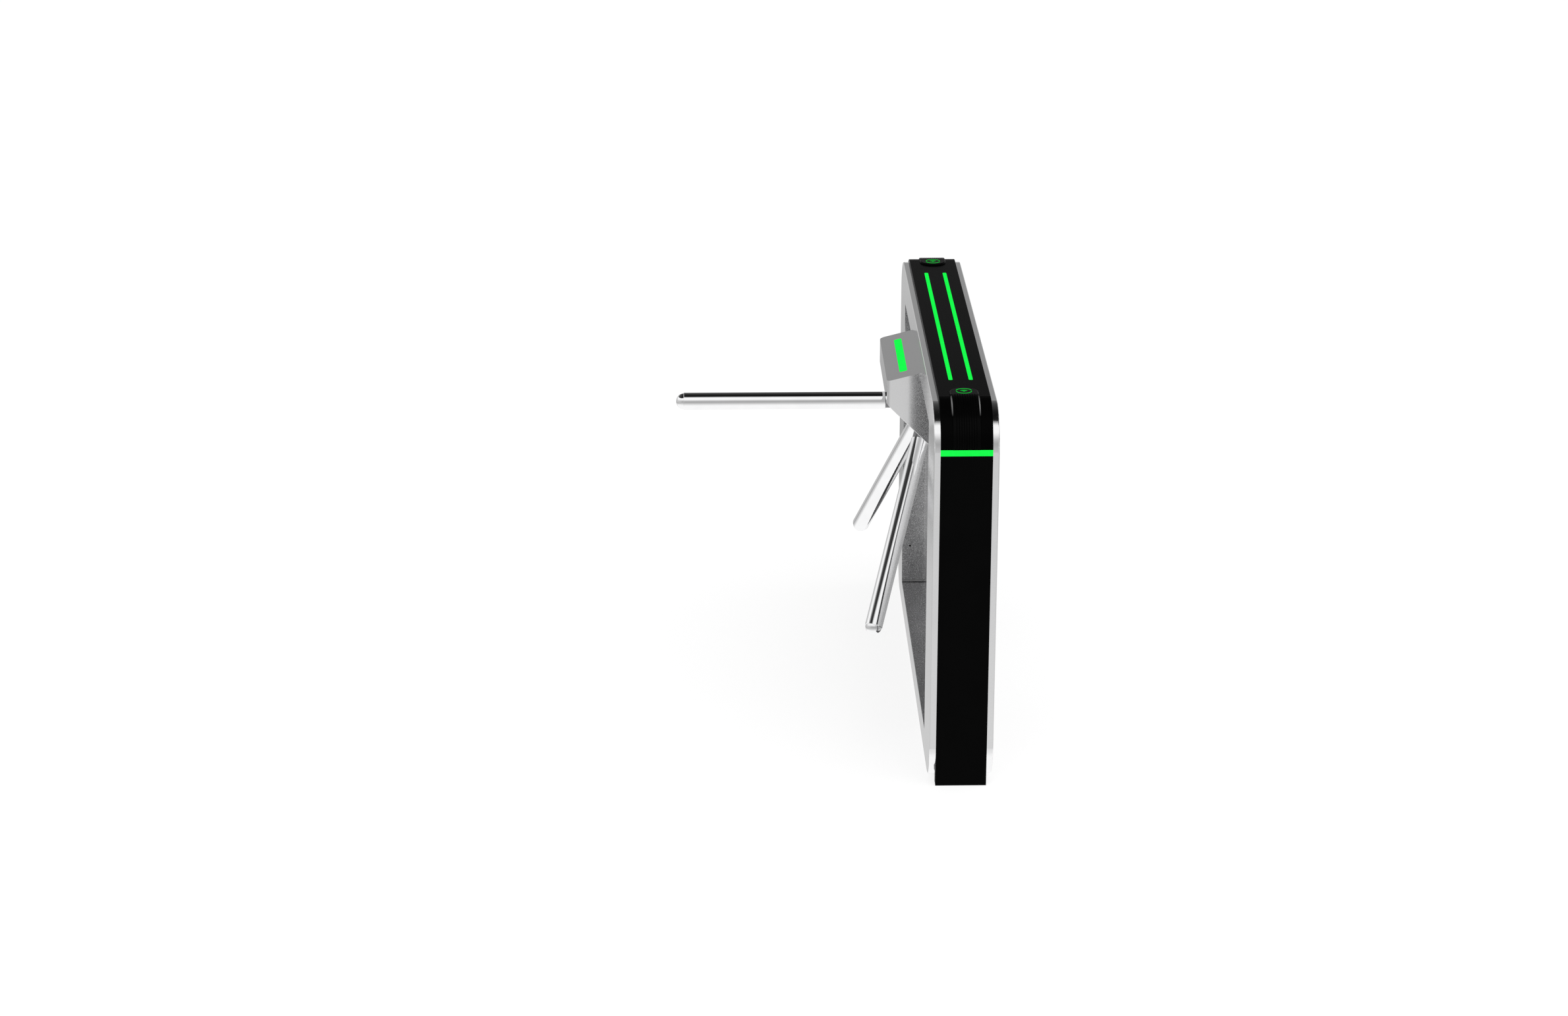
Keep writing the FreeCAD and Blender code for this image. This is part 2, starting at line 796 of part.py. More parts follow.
boards = []
for word, side in (("left", -1), ("right", 1)):
    bar = strip(
        f"{word}_strip_bar", side, "0", STRIP_LOW, "lip_thick + cover_skin + strip_proud", mm("strip_end")
    )
    lip_corner = mm("strip_end") + mm("strip_lip")
    lip = strip(f"{word}_strip_lip", side, "strip_lip", STRIP_LOW, "lip_thick", lip_corner)
    node(fuse(f"{word}_strip", [bar, lip]), f"{word}_top_light")
    boards.append(
        block(
            f"{word}_strip_board",
            ("board_width", "strip_length - 2 * strip_width", "board_thick"),
            (
                f"{side} * strip_offset - board_width / 2",
                "strip_width - strip_length / 2",
                f"{STRIP_LOW} - board_thick",
            ),
        )
    )
node(group("strip_boards", boards), "top_light_boards")

# Reader pads: raised ribbed shells that run over each rounded end, with a light ring on top

PAD_FRONT = f"({END} + pad_front)"
pad_blank = block(
    "pad_blank",
    ("pad_width", "pad_length + pad_front", f"cover_corner + pad_height + {OVERRUN}"),
    ("-pad_width / 2", f"-{PAD_FRONT}", f"{BAND_TOP} - {OVERRUN}"),
)


def pad_nose(edge):
    return runs_along("x")(edge) and edge.BoundBox.YMax < -mm("cabinet_length") / 2 + mm("pad_length") / 2


def pad_top_nose(edge):
    return pad_nose(edge) and edge.BoundBox.ZMin > mm("top_height")


pad_round = rounded("pad_round", pad_blank, mm("cover_corner") + mm("pad_height"), pad_top_nose)


def pad_tail(edge):
    return runs_along("z")(edge) and edge.BoundBox.YMin > -mm("cabinet_length") / 2 + mm("pad_length") / 2


pad_tailed = rounded("pad_tailed", pad_round, mm("pad_end"), pad_tail)


def pad_rim(edge):
    box = edge.BoundBox
    on_top = box.ZMin > mm("top_height") + mm("pad_height") / 2
    on_nose = box.ZMin > mm("top_height") - mm("cover_corner") - 1 and box.ZMax > mm("top_height")
    along_side = box.XMax - box.XMin < 1e-6 and box.YMax - box.YMin > mm("pad_length") / 10
    return (on_top and not runs_along("x")(edge)) or (on_nose and along_side) or (
        on_top and box.YMin > -mm("cabinet_length") / 2 + mm("pad_length") / 2
    )


pad_shape = rounded("pad_shape", pad_tailed, mm("pad_edge"), pad_rim)
pad_foot = block(
    "pad_foot",
    (f"pad_width + 2 * {OVERRUN}", f"cover_corner + pad_front + {OVERRUN}", f"2 * {OVERRUN}"),
    (f"-pad_width / 2 - {OVERRUN}", f"-{PAD_FRONT} - {OVERRUN}", f"{BAND_TOP} - 2 * {OVERRUN}"),
)
PAD_AXIS_Y = f"({PAD_ARC} - {PAD_FRONT})"
rib_outer = rod(
    "rib_outer", f"{PAD_ARC} + {OVERRUN}", "pad_width", ("-pad_width / 2", PAD_AXIS_Y, BAND_TOP), "x"
)
rib_inner = rod(
    "rib_inner", f"{PAD_ARC} - rib_depth", "pad_width", ("-pad_width / 2", PAD_AXIS_Y, BAND_TOP), "x"
)
comb = []
for number in range(RIBS):
    comb.append(
        block(
            f"rib_gap_{number}",
            ("rib_gap", f"{PAD_ARC} + 2 * {OVERRUN}", f"{PAD_ARC} + 2 * {OVERRUN}"),
            (
                f"{number - (RIBS - 1) / 2} * rib_pitch - rib_gap / 2",
                f"-{PAD_FRONT} - 2 * {OVERRUN}",
                f"{BAND_TOP} - {OVERRUN}",
            ),
        )
    )
grooves = common("rib_grooves", cut("rib_ring", rib_outer, [rib_inner]), fuse("rib_comb", comb))
pad = cut("front_pad", pad_shape, [cover_outer, pad_foot, grooves])
node(pad, "front_reader_pad")
node(mirrored("rear_pad", pad), "rear_reader_pad")

RING_Y = f"(ring_place - {END})"
RING_Z = "(top_height + pad_height)"
ring_outer = rod("ring_outer", "ring_radius", "ring_proud", ("0", RING_Y, RING_Z))
ring_inner = rod(
    "ring_inner", "ring_radius - ring_wall", f"ring_proud + 2 * {OVERRUN}", ("0", RING_Y, f"{RING_Z} - {OVERRUN}")
)
ring_break = block(
    "ring_break",
    ("3 * ring_radius", "ring_gap", f"ring_proud + 2 * {OVERRUN}"),
    ("-1.5 * ring_radius", f"{RING_Y} - ring_gap / 2", f"{RING_Z} - {OVERRUN}"),
)
ring = cut("front_ring", ring_outer, [ring_inner, ring_break])
node(ring, "front_ring_light")
node(mirrored("rear_ring", ring), "rear_ring_light")

reader_boards = []
for word, sign in (("front", -1), ("rear", 1)):
    reader_boards.append(
        block(
            f"{word}_reader_board",
            ("reader_size", "reader_size", "board_thick"),
            (
                "-reader_size / 2",
                f"{sign} * ({END} - ring_place) - reader_size / 2",
                f"{COVER_UNDER} - board_thick",
            ),
        )
    )
node(group("reader_board_pair", reader_boards), "reader_boards")

# Head housing: a folded steel hood on the side panel, with its slanted face square to the rotor's axis

SLANT = f"({FACE_SUM} + head_skin * sqrt(2))"
hood = prism(
    "hood",
    [
        (f"-{SIDE}", HEAD_TOP),
        (HEAD_X, f"{HEAD_TOP} - head_fall"),
        (HEAD_X, f"{FACE_SUM} - {HEAD_X}"),
        (NICHE_FLOOR, f"{FACE_SUM} - {NICHE_FLOOR}"),
        (NICHE_FLOOR, NICHE_TOP),
        (f"-{SIDE}", NICHE_TOP),
    ],
    "head_length",
)
hood_inside = prism(
    "hood_inside",
    [
        (f"{OVERRUN} - {SIDE}", f"{HEAD_TOP} - head_skin"),
        (f"{HEAD_X} + head_skin", f"{HEAD_TOP} - head_fall - head_skin"),
        (f"{HEAD_X} + head_skin", f"{SLANT} - {HEAD_X} - head_skin"),
        (f"{NICHE_FLOOR} + {OVERRUN}", f"{SLANT} - {NICHE_FLOOR} - {OVERRUN}"),
        (f"{NICHE_FLOOR} + {OVERRUN}", f"{NICHE_TOP} + {OVERRUN}"),
        (f"{OVERRUN} - {SIDE}", f"{NICHE_TOP} + {OVERRUN}"),
    ],
    "head_length - 2 * head_skin",
)
head_x = -mm("cabinet_width") / 2 - mm("head_reach")


def hood_corner(edge):
    return runs_along("z")(edge) and edge.BoundBox.XMax < head_x + mm("head_skin") + 1


hood_round = rounded("hood_round", hood, mm("head_corner"), hood_corner)
hood_inside = rounded("hood_inside_round", hood_inside, mm("head_corner") - mm("head_skin"), hood_corner)
shell = cut("hood_shell", hood_round, [hood_inside])
tabs = []
for sign in (-1, 1):
    low = f"{WINDOW_HALF} + head_tab_gap" if sign > 0 else "-head_length / 2"
    tabs.append(
        block(
            f"hood_tab_{sign + 1}",
            ("head_skin", "window_margin - head_tab_gap", "head_tab_height"),
            (f"{NICHE_FLOOR} - head_skin", low, f"{APEX_Z} - head_tab_height / 8"),
        )
    )
hub_hole = rod(
    "hub_hole", "hub_radius + hub_gap", "4 * head_skin", ("0", "0", "face_offset - 3 * head_skin")
)
hub_hole = on_axis(group("hub_hole_on_axis", [hub_hole]))
BAR_AT = (f"-{SIDE} - bar_offset", "0", f"{HEAD_TOP} - bar_offset * head_fall / head_reach")
HEAD_SLOPE = math.degrees(math.atan2(mm("head_fall"), mm("head_reach")))
ON_TOP = FreeCAD.Rotation(Y_AXIS, -HEAD_SLOPE)


def head_bar(name, grow, low, high, corner):
    bar = block(
        name,
        (f"bar_width + 2 * ({grow})", f"bar_length + 2 * ({grow})", f"({high}) - ({low})"),
        (f"-bar_width / 2 - ({grow})", f"-bar_length / 2 - ({grow})", low),
    )
    return rounded(name + "_ends", bar, corner, runs_along("z"))


bar_slot = head_bar("bar_slot", "light_fit", "-4 * head_skin", OVERRUN, mm("bar_end") + mm("light_fit"))
put(bar_slot, BAR_AT, ON_TOP)
hood_holes = bolt_holes("hood_bolt_hole", HEAD_BOLT_AT, FACING_LEFT, "4 * side_skin")
hood_whole = fuse("hood_whole", [shell] + tabs)
node(cut("head", hood_whole, [hub_hole, bar_slot] + hood_holes), "head_housing")
BAR_LOW = "(-head_skin - bar_seat - lip_thick)"
bar = head_bar("bar_stem", "0", BAR_LOW, "bar_proud", mm("bar_end"))
bar_lip = head_bar("bar_lip", "strip_lip", BAR_LOW, "-head_skin - bar_seat", mm("bar_end") + mm("strip_lip"))
node(put(fuse("head_bar", [bar, bar_lip]), BAR_AT, ON_TOP), "head_light")
head_bolts = bolts("head_bolt", HEAD_BOLT_AT, FACING_LEFT, "head_skin + side_skin + 2 * frame_skin")
node(group("head_bolt_set", head_bolts), "head_bolts")

# Mechanism plate behind the slanted face, and the bearing housing bolted through it

BARREL = "(bearing_outer + running_fit + barrel_wall)"
blank = block(
    "plate_blank",
    ("plate_up + plate_down", f"2 * {PLATE_HALF}", "plate_thick"),
    ("-plate_down", f"-{PLATE_HALF}", "-plate_thick"),
)
FLANGE_BOLT = f"(({BARREL} + flange_radius) / 2)"
FLANGE_BOLT_AT = [
    (f"{FLANGE_BOLT} * {across} * sqrt(0.5)", f"{FLANGE_BOLT} * {along} * sqrt(0.5)", "flange_thick")
    for across in (-1, 1)
    for along in (-1, 1)
]
UPRIGHT = FreeCAD.Rotation()
FLANGE_DEPTH = "4 * (flange_thick + plate_thick)"
plate_holes = bolt_holes("plate_bolt_hole", FLANGE_BOLT_AT, UPRIGHT, FLANGE_DEPTH)
barrel_hole = rod(
    "barrel_hole",
    f"{BARREL} + bolt_fit",
    f"plate_thick + 2 * {OVERRUN}",
    ("0", "0", f"-plate_thick - {OVERRUN}"),
)
mechanism_plate = cut("tilted_plate", blank, [barrel_hole] + plate_holes)
node(on_axis(mechanism_plate), "mechanism_plate")

BORE = "(bearing_outer + running_fit)"
barrel = turned(
    "barrel",
    [
        (BORE, "flange_thick"),
        (BORE, "flange_thick - bearing_width"),
        (f"{BORE} - bore_step", "flange_thick - bearing_width"),
        (f"{BORE} - bore_step", "bearing_width - barrel_length"),
        (BORE, "bearing_width - barrel_length"),
        (BORE, "-barrel_length"),
        (BARREL, "-barrel_length"),
        (BARREL, "0"),
        ("flange_radius", "0"),
        ("flange_radius", "flange_thick"),
    ],
)
flange_holes = bolt_holes("flange_bolt_hole", FLANGE_BOLT_AT, UPRIGHT, FLANGE_DEPTH)
node(on_axis(cut("barrel_drilled", barrel, flange_holes)), "bearing_housing")
flange_bolts = bolts("flange_bolt", FLANGE_BOLT_AT, UPRIGHT, "flange_thick + plate_thick")
node(on_axis(group("flange_bolt_set", flange_bolts)), "bearing_bolts")

bearings = []
for word, low in (("front", "(flange_thick - bearing_width)"), ("rear", "(-barrel_length)")):
    bearing = turned(
        f"{word}_bearing",
        [
            ("shaft_radius + running_fit", low),
            ("bearing_outer", low),
            ("bearing_outer", f"{low} + bearing_width"),
            ("shaft_radius + running_fit", f"{low} + bearing_width"),
        ],
    )
    bearings.append(bearing)
node(on_axis(group("bearing_pair", bearings)), "shaft_bearings")

# Main shaft, and what is keyed on its rear end: index disc, drive gear and encoder disc

SHAFT_TOP = "(pocket_floor - face_gap)"
shaft = turned(
    "shaft",
    [
        ("0", "-shaft_rear"),
        ("shaft_radius", "-shaft_rear"),
        ("shaft_radius", "flange_thick + face_gap"),
        ("collar_radius", "flange_thick + face_gap"),
        ("collar_radius", "hub_back"),
        ("shaft_radius", "hub_back"),
        ("shaft_radius", SHAFT_TOP),
        ("hub_bolt_radius + bolt_fit", SHAFT_TOP),
        ("hub_bolt_radius + bolt_fit", f"{SHAFT_TOP} - hub_bolt_grip"),
        ("0", f"{SHAFT_TOP} - hub_bolt_grip"),
    ],
)
node(on_axis(shaft), "main_shaft")

notch = [
    (f"disc_radius + {OVERRUN}", "-notch_width / 2"),
    (f"disc_radius + {OVERRUN}", "notch_width / 2"),
    ("disc_radius - notch_depth", "notch_width / 2"),
    ("disc_radius - notch_depth", "-notch_width / 2"),
]
disc = wheel("notched_disc", "disc_radius", "-disc_place - disc_thick", "disc_thick", notch, NOTCHES, True)
node(on_axis(disc), "index_disc")


def tooth_outline(teeth):
    pitch = f"(gear_module * {teeth} / 2)"
    root = f"({pitch} - 1.25 * gear_module)"
    tip = f"({pitch} + 0.9 * gear_module)"
    half = "(gear_module * 0.785 - backlash / 2)"
    flare = "(gear_module * 0.4)"
    return root, [
        (f"{root} - gear_module / 2", f"-{half} - {flare}"),
        (tip, f"-{half} + {flare}"),
        (tip, f"{half} - {flare}"),
        (f"{root} - gear_module / 2", f"{half} + {flare}"),
    ]


GEAR_LOW = "(-gear_place - gear_width)"
root, tooth = tooth_outline(GEAR_TEETH)
node(on_axis(wheel("toothed_gear", root, GEAR_LOW, "gear_width", tooth, GEAR_TEETH, False)), "drive_gear")

encoder = turned(
    "encoder",
    [
        ("shaft_radius + running_fit", "-encoder_place"),
        ("encoder_radius", "-encoder_place"),
        ("encoder_radius", "-encoder_place - encoder_thick"),
        ("shaft_radius + running_fit", "-encoder_place - encoder_thick"),
    ],
)
node(on_axis(encoder), "encoder_disc")

# Oil damper on the plate, with a pinion that the drive gear turns

CENTRES = f"(gear_module * {GEAR_TEETH + PINION_TEETH} / 2)"
DAMPER_AT = (f"{CENTRES} * cos({DAMPER_ANGLE})", f"{CENTRES} * sin({DAMPER_ANGLE})", "0")
PINION_TURN = FreeCAD.Rotation(Z_AXIS, DAMPER_ANGLE + 180 + 180 / PINION_TEETH)


def beside_axis(piece, turn=None):
    put(piece, DAMPER_AT, turn)
    return on_axis(group(piece.Name + "_on_axis", [piece]))


DAMPER_END = "(plate_thick + damper_length)"
NECK_END = f"(gear_place - 2 * face_gap)"
damper = turned(
    "damper",
    [
        ("stub_radius + running_fit", f"-{NECK_END}"),
        ("neck_radius", f"-{NECK_END}"),
        ("neck_radius", f"-{DAMPER_END}"),
        ("damper_radius", f"-{DAMPER_END}"),
        ("damper_radius", "-plate_thick"),
        ("0", "-plate_thick"),
        ("0", "-plate_thick - flange_thick"),
        ("stub_radius + running_fit", "-plate_thick - flange_thick"),
    ],
)
node(beside_axis(damper), "damper_body")

root, tooth = tooth_outline(PINION_TEETH)
pinion_wheel = doc.addObject("PartDesign::Body", "pinion")
rim = new_sketch(pinion_wheel, "pinion_rim", "XY_Plane")
draw_circle(rim, root)
bind(rim, "AttachmentOffset.Base.z", GEAR_LOW)
disc = pinion_wheel.newObject("PartDesign::Pad", "pinion_disc")
disc.Profile = rim
bind(disc, "Length", "gear_width")
sketch = new_sketch(pinion_wheel, "pinion_tooth_outline", "XY_Plane")
draw_outline(sketch, tooth)
bind(sketch, "AttachmentOffset.Base.z", GEAR_LOW)
leaf = pinion_wheel.newObject("PartDesign::Pad", "pinion_leaf")
leaf.Profile = sketch
bind(leaf, "Length", "gear_width")
pattern = pinion_wheel.newObject("PartDesign::PolarPattern", "pinion_ring")
pattern.Originals = [leaf]
pattern.Axis = (origin_part(pinion_wheel, "Z_Axis"), [""])
pattern.Angle = 360
pattern.Occurrences = PINION_TEETH
pinion_wheel.Tip = pattern
stub = rod(
    "pinion_stub", "stub_radius", f"stub_length + {OVERRUN}", ("0", "0", f"-gear_place - {OVERRUN}")
)
pinion = fuse("pinion_whole", [pinion_wheel, stub])
node(beside_axis(pinion, PINION_TURN), "damper_pinion")

# Position sensor: a forked block round the encoder disc, on a post from the plate

SENSOR_IN = "(encoder_radius - sensor_width / 2)"
SENSOR_OUT = "(encoder_radius + sensor_width)"
FORK_TOP = "(encoder_place - sensor_slot - sensor_width / 4)"
FORK_BOTTOM = "(encoder_place + encoder_thick + sensor_slot + sensor_width / 4)"
fork = block(
    "fork_block",
    (f"{SENSOR_OUT} - {SENSOR_IN}", "sensor_width", f"{FORK_BOTTOM} - {FORK_TOP}"),
    (SENSOR_IN, "-sensor_width / 2", f"-{FORK_BOTTOM}"),
)
fork_slot = block(
    "fork_slot",
    (
        f"encoder_radius - {SENSOR_IN} + sensor_slot / 2 + {OVERRUN}",
        f"sensor_width + 2 * {OVERRUN}",
        "encoder_thick + 2 * sensor_slot",
    ),
    (
        f"{SENSOR_IN} - {OVERRUN}",
        f"-sensor_width / 2 - {OVERRUN}",
        "-encoder_place - encoder_thick - sensor_slot",
    ),
)
post = rod(
    "fork_post",
    "post_radius",
    f"{FORK_TOP} - plate_thick + {OVERRUN}",
    (f"{SENSOR_OUT} - post_radius", "0", f"-{FORK_TOP} - {OVERRUN}"),
)
sensor = fuse("fork", [cut("fork_head", fork, [fork_slot]), post])
put(sensor, ("0", "0", "0"), FreeCAD.Rotation(Z_AXIS, SENSOR_ANGLE))
node(on_axis(group("fork_on_axis", [sensor])), "position_sensor")

# Lock pawls on pins from the plate. At rest the solenoids hold them clear of the index disc.

TIP_AT = "(disc_radius + pawl_gap)"
PIVOT_OUT = f"({TIP_AT} + pawl_radius + pawl_gap)"
COS = f"cos({PAWL_ANGLE})"
SIN = f"sin({PAWL_ANGLE})"
PIVOT_X = f"(-{PIVOT_OUT} * {COS} + pawl_reach * {SIN})"
PIVOT_Y = f"({PIVOT_OUT} * {SIN} + pawl_reach * {COS})"
PAWL_LOW = "(-disc_place - disc_thick / 2 - pawl_thick / 2)"
PAWL_HIGH = "(-disc_place - disc_thick / 2 + pawl_thick / 2)"


def pawl_points(sign):
    # The lever runs from the pivot to the tip, in a frame turned so that the tip points along +X
    return [
        (f"-{PIVOT_OUT} - pawl_radius * 0.6", f"{sign} * pawl_reach"),
        (f"-{PIVOT_OUT} - pawl_radius * 0.6", f"{sign} * tip_width / -2"),
        (f"-{TIP_AT}", f"{sign} * tip_width / -2"),
        (f"-{TIP_AT}", f"{sign} * tip_width / 2"),
        (f"-{TIP_AT} - notch_depth", f"{sign} * tip_width / 2"),
        (f"-{PIVOT_OUT} + pawl_radius * 0.6", f"{sign} * pawl_reach"),
    ]


pin_pair = []
for word, sign in (("front", -1), ("rear", 1)):
    spin = FreeCAD.Rotation(Z_AXIS, -sign * PAWL_ANGLE)
    lever = plate(f"{word}_lever", pawl_points(sign), PAWL_LOW, "pawl_thick")
    put(lever, ("0", "0", "0"), spin)
    pivot = (PIVOT_X, f"{sign} * {PIVOT_Y}", PAWL_LOW)
    eye_boss = rod(f"{word}_pawl_eye", "pawl_radius", "pawl_thick", pivot)
    tail = block(
        f"{word}_pawl_tail",
        ("tail_length + tail_width / 2", "tail_width", "pawl_thick"),
        (PIVOT_X, f"{sign} * {PIVOT_Y} - tail_width / 2", PAWL_LOW),
    )
    bore = rod(
        f"{word}_pawl_bore",
        "pin_radius + running_fit",
        f"pawl_thick + 2 * {OVERRUN}",
        (PIVOT_X, f"{sign} * {PIVOT_Y}", f"{PAWL_LOW} - {OVERRUN}"),
    )
    whole = fuse(f"{word}_pawl_whole", [lever, eye_boss, tail])
    node(on_axis(cut(f"{word}_pawl_drilled", whole, [bore])), f"{word}_lock_pawl")
    pin = turned(
        f"{word}_pin",
        [
            ("0", "-plate_thick"),
            ("pin_shoulder", "-plate_thick"),
            ("pin_shoulder", f"{PAWL_HIGH} + face_gap"),
            ("pin_radius", f"{PAWL_HIGH} + face_gap"),
            ("pin_radius", f"{PAWL_LOW} - face_gap"),
            ("pin_shoulder", f"{PAWL_LOW} - face_gap"),
            ("pin_shoulder", f"{PAWL_LOW} - 2 * pawl_gap"),
            ("0", f"{PAWL_LOW} - 2 * pawl_gap"),
        ],
    )
    pin_pair.append(put(pin, (PIVOT_X, f"{sign} * {PIVOT_Y}", "0")))
    plunger_x = f"({PIVOT_X} + tail_length)"
    tip_y = f"({PIVOT_Y} + tail_width / 2 + plunger_gap)"
    body_y = f"({WINDOW_HALF} - solenoid_length)"
    plunger_end = f"({WINDOW_HALF} - coil_floor - plunger_room)"
    axis_z = "(-disc_place - disc_thick / 2)"
    low = body_y if sign > 0 else f"-{WINDOW_HALF}"
    coil = block(
        f"{word}_coil",
        ("solenoid_width", "solenoid_length", "solenoid_width"),
        (f"{plunger_x} - solenoid_width / 2", low, f"{axis_z} - solenoid_width / 2"),
    )
    bore_low = f"{body_y} - {OVERRUN}" if sign > 0 else f"-{WINDOW_HALF} + coil_floor"
    coil_bore = rod(
        f"{word}_coil_bore",
        "plunger_radius + running_fit",
        f"solenoid_length - coil_floor + {OVERRUN}",
        (plunger_x, bore_low, axis_z),
        "y",
    )
    node(on_axis(cut(f"{word}_coil_bored", coil, [coil_bore])), f"{word}_solenoid")
    tip_low = tip_y if sign > 0 else f"-{plunger_end}"
    plunger = rod(
        f"{word}_plunger_rod",
        "plunger_radius",
        f"{plunger_end} - {tip_y}",
        (plunger_x, tip_low, axis_z),
        "y",
    )
    node(on_axis(group(f"{word}_plunger_on_axis", [plunger])), f"{word}_plunger")
node(on_axis(group("pin_pair", pin_pair)), "pawl_pins")

# Tripod hub: a turned cone with three bosses, each with a spigot inside its arm

cone = turned(
    "hub_cone",
    [
        ("0", "hub_back"),
        ("hub_radius", "hub_back"),
        ("hub_radius", "hub_shoulder"),
        ("nose_radius", "hub_shoulder + hub_radius - nose_radius"),
        ("0", "hub_shoulder + hub_radius - nose_radius"),
    ],
)
NOSE = "(hub_shoulder + hub_radius - nose_radius)"
BOSS_START = f"({NOSE} * sqrt(2) - 1.2 * boss_radius)"
SPIGOT = "(arm_radius - arm_wall - arm_fit)"
limbs = []
hub_drills = []
for number, angle in enumerate(ARM_ANGLES, start=1):
    boss = rod(f"boss_{number}", "boss_radius", f"arm_start - {BOSS_START}", ("0", "0", BOSS_START))
    spigot = rod(
        f"spigot_{number}", SPIGOT, f"spigot_length + {OVERRUN}", ("0", "0", f"arm_start - {OVERRUN}")
    )
    limb = fuse(f"limb_{number}", [boss, spigot])
    limbs.append(put(limb, ("0", "0", "0"), arm_turn(angle)))
    drill = rod(
        f"limb_hole_{number}",
        "screw_radius + screw_fit",
        "arm_radius",
        ("-2 * arm_radius + screw_depth", "0", "arm_start + screw_place"),
        "x",
    )
    hub_drills.append(put(group(f"limb_drill_{number}", [drill]), ("0", "0", "0"), arm_turn(angle)))
hub_bore = rod(
    "hub_bore", "shaft_radius + running_fit", "pocket_floor", ("0", "0", f"hub_back - {OVERRUN}")
)
hub_pocket = rod("hub_pocket", "pocket_radius", NOSE, ("0", "0", "pocket_floor"))
hub = cut("hub", fuse("hub_cast", [cone] + limbs), [hub_bore, hub_pocket] + hub_drills)
node(on_axis(hub), "tripod_hub")

washer = turned(
    "hub_washer",
    [
        ("hub_bolt_radius + bolt_fit", "pocket_floor"),
        ("washer_radius", "pocket_floor"),
        ("washer_radius", "pocket_floor + washer_thick"),
        ("hub_bolt_radius + bolt_fit", "pocket_floor + washer_thick"),
    ],
)
hub_bolt = turned(
    "hub_screw",
    [
        ("0", f"{SHAFT_TOP} - hub_bolt_grip + face_gap"),
        ("hub_bolt_radius", f"{SHAFT_TOP} - hub_bolt_grip + face_gap"),
        ("hub_bolt_radius", "pocket_floor + washer_thick"),
        ("hub_bolt_head", "pocket_floor + washer_thick"),
        ("hub_bolt_head", "pocket_floor + washer_thick + hub_bolt_radius"),
        ("0", "pocket_floor + washer_thick + hub_bolt_radius"),
    ],
)
node(on_axis(group("hub_bolt_set", [washer, hub_bolt])), "hub_bolt")
cap = turned(
    "hub_cap_disc",
    [
        ("0", f"{NOSE} - cap_thick"),
        ("pocket_radius - arm_fit", f"{NOSE} - cap_thick"),
        ("pocket_radius - arm_fit", NOSE),
        ("pocket_radius - cap_thick", f"{NOSE} + cap_thick / 3"),
        ("0", f"{NOSE} + cap_thick / 3"),
    ],
)
node(on_axis(cap), "hub_cap")

# Three arms: polished tubes over the spigots, held by set screws, with domed caps on their ends

DOME_BASE = "(arm_radius - arm_wall + cap_lip)"
DOME_RADIUS = f"(({DOME_BASE} * {DOME_BASE} + dome_height * dome_height) / (2 * dome_height))"
caps = []
screws = []
for number, angle in enumerate(ARM_ANGLES, start=1):
    tube = turned(
        f"tube_{number}",
        [
            ("arm_radius - arm_wall", "arm_start"),
            ("arm_radius - arm_chamfer", "arm_start"),
            ("arm_radius", "arm_start + arm_chamfer"),
            ("arm_radius", "arm_end - arm_chamfer"),
            ("arm_radius - arm_chamfer", "arm_end"),
            ("arm_radius - arm_wall", "arm_end"),
        ],
    )
    drill = rod(
        f"tube_hole_{number}",
        "screw_radius + screw_fit",
        "arm_radius",
        ("-1.5 * arm_radius", "0", "arm_start + screw_place"),
        "x",
    )
    node(on_arm(cut(f"tube_drilled_{number}", tube, [drill]), angle), f"arm_{number}")
    dome = doc.addObject("Part::Sphere", f"dome_{number}")
    bind(dome, "Radius", DOME_RADIUS)
    bind(dome, "Angle1", f"asin(({DOME_RADIUS} - dome_height) / {DOME_RADIUS})")
    put(dome, ("0", "0", f"arm_end + dome_height - {DOME_RADIUS}"))
    plug = rod(f"plug_{number}", SPIGOT, f"plug_length + {OVERRUN}", ("0", "0", "arm_end - plug_length"))
    caps.append(put(fuse(f"cap_{number}", [dome, plug]), ("0", "0", "0"), arm_turn(angle)))
    screw = rod(
        f"screw_{number}",
        "screw_radius",
        "screw_depth",
        ("-arm_radius", "0", "arm_start + screw_place"),
        "x",
    )
    screws.append(put(group(f"screw_on_arm_{number}", [screw]), ("0", "0", "0"), arm_turn(angle)))
node(on_axis(group("cap_set", caps)), "arm_end_caps")
node(on_axis(group("screw_set", screws)), "arm_set_screws")

# Electrics on a tray between the two rear bulkheads

TRAY_LOW = f"({WINDOW_HALF} + frame_skin)"
TRAY_FACE = f"({END_RIGHT} - supply_gap - supply_depth)"
TRAY_BOTTOM = f"({CHEEK_LOW} - tray_gap - tray_height)"
tray = block(
    "tray",
    ("tray_skin", "tray_length", "tray_height"),
    (f"{TRAY_FACE} - tray_skin", TRAY_LOW, TRAY_BOTTOM),
)
node(tray, "equipment_tray")
MARGIN = "frame_flange"
supply = block(
    "supply",
    ("supply_depth", "supply_length", "supply_height"),
    (TRAY_FACE, f"{TRAY_LOW} + {MARGIN}", f"{TRAY_BOTTOM} + {MARGIN}"),
)
node(rounded("supply_case", supply, mm("side_edge"), runs_along("x")), "power_supply")
terminal = block(
    "terminal",
    ("terminal_depth", "terminal_length", "terminal_height"),
    (TRAY_FACE, f"{TRAY_LOW} + supply_length + 2 * {MARGIN}", f"{TRAY_BOTTOM} + {MARGIN}"),
)
node(terminal, "terminal_block")
CONTROL_Y = f"({TRAY_LOW} + {MARGIN})"
CONTROL_Z = f"({TRAY_BOTTOM} + supply_height + 2 * {MARGIN})"
board = block(
    "control_sheet",
    ("board_thick", "control_length", "control_height"),
    (f"{TRAY_FACE} + standoff_length", CONTROL_Y, CONTROL_Z),
)
posts = []
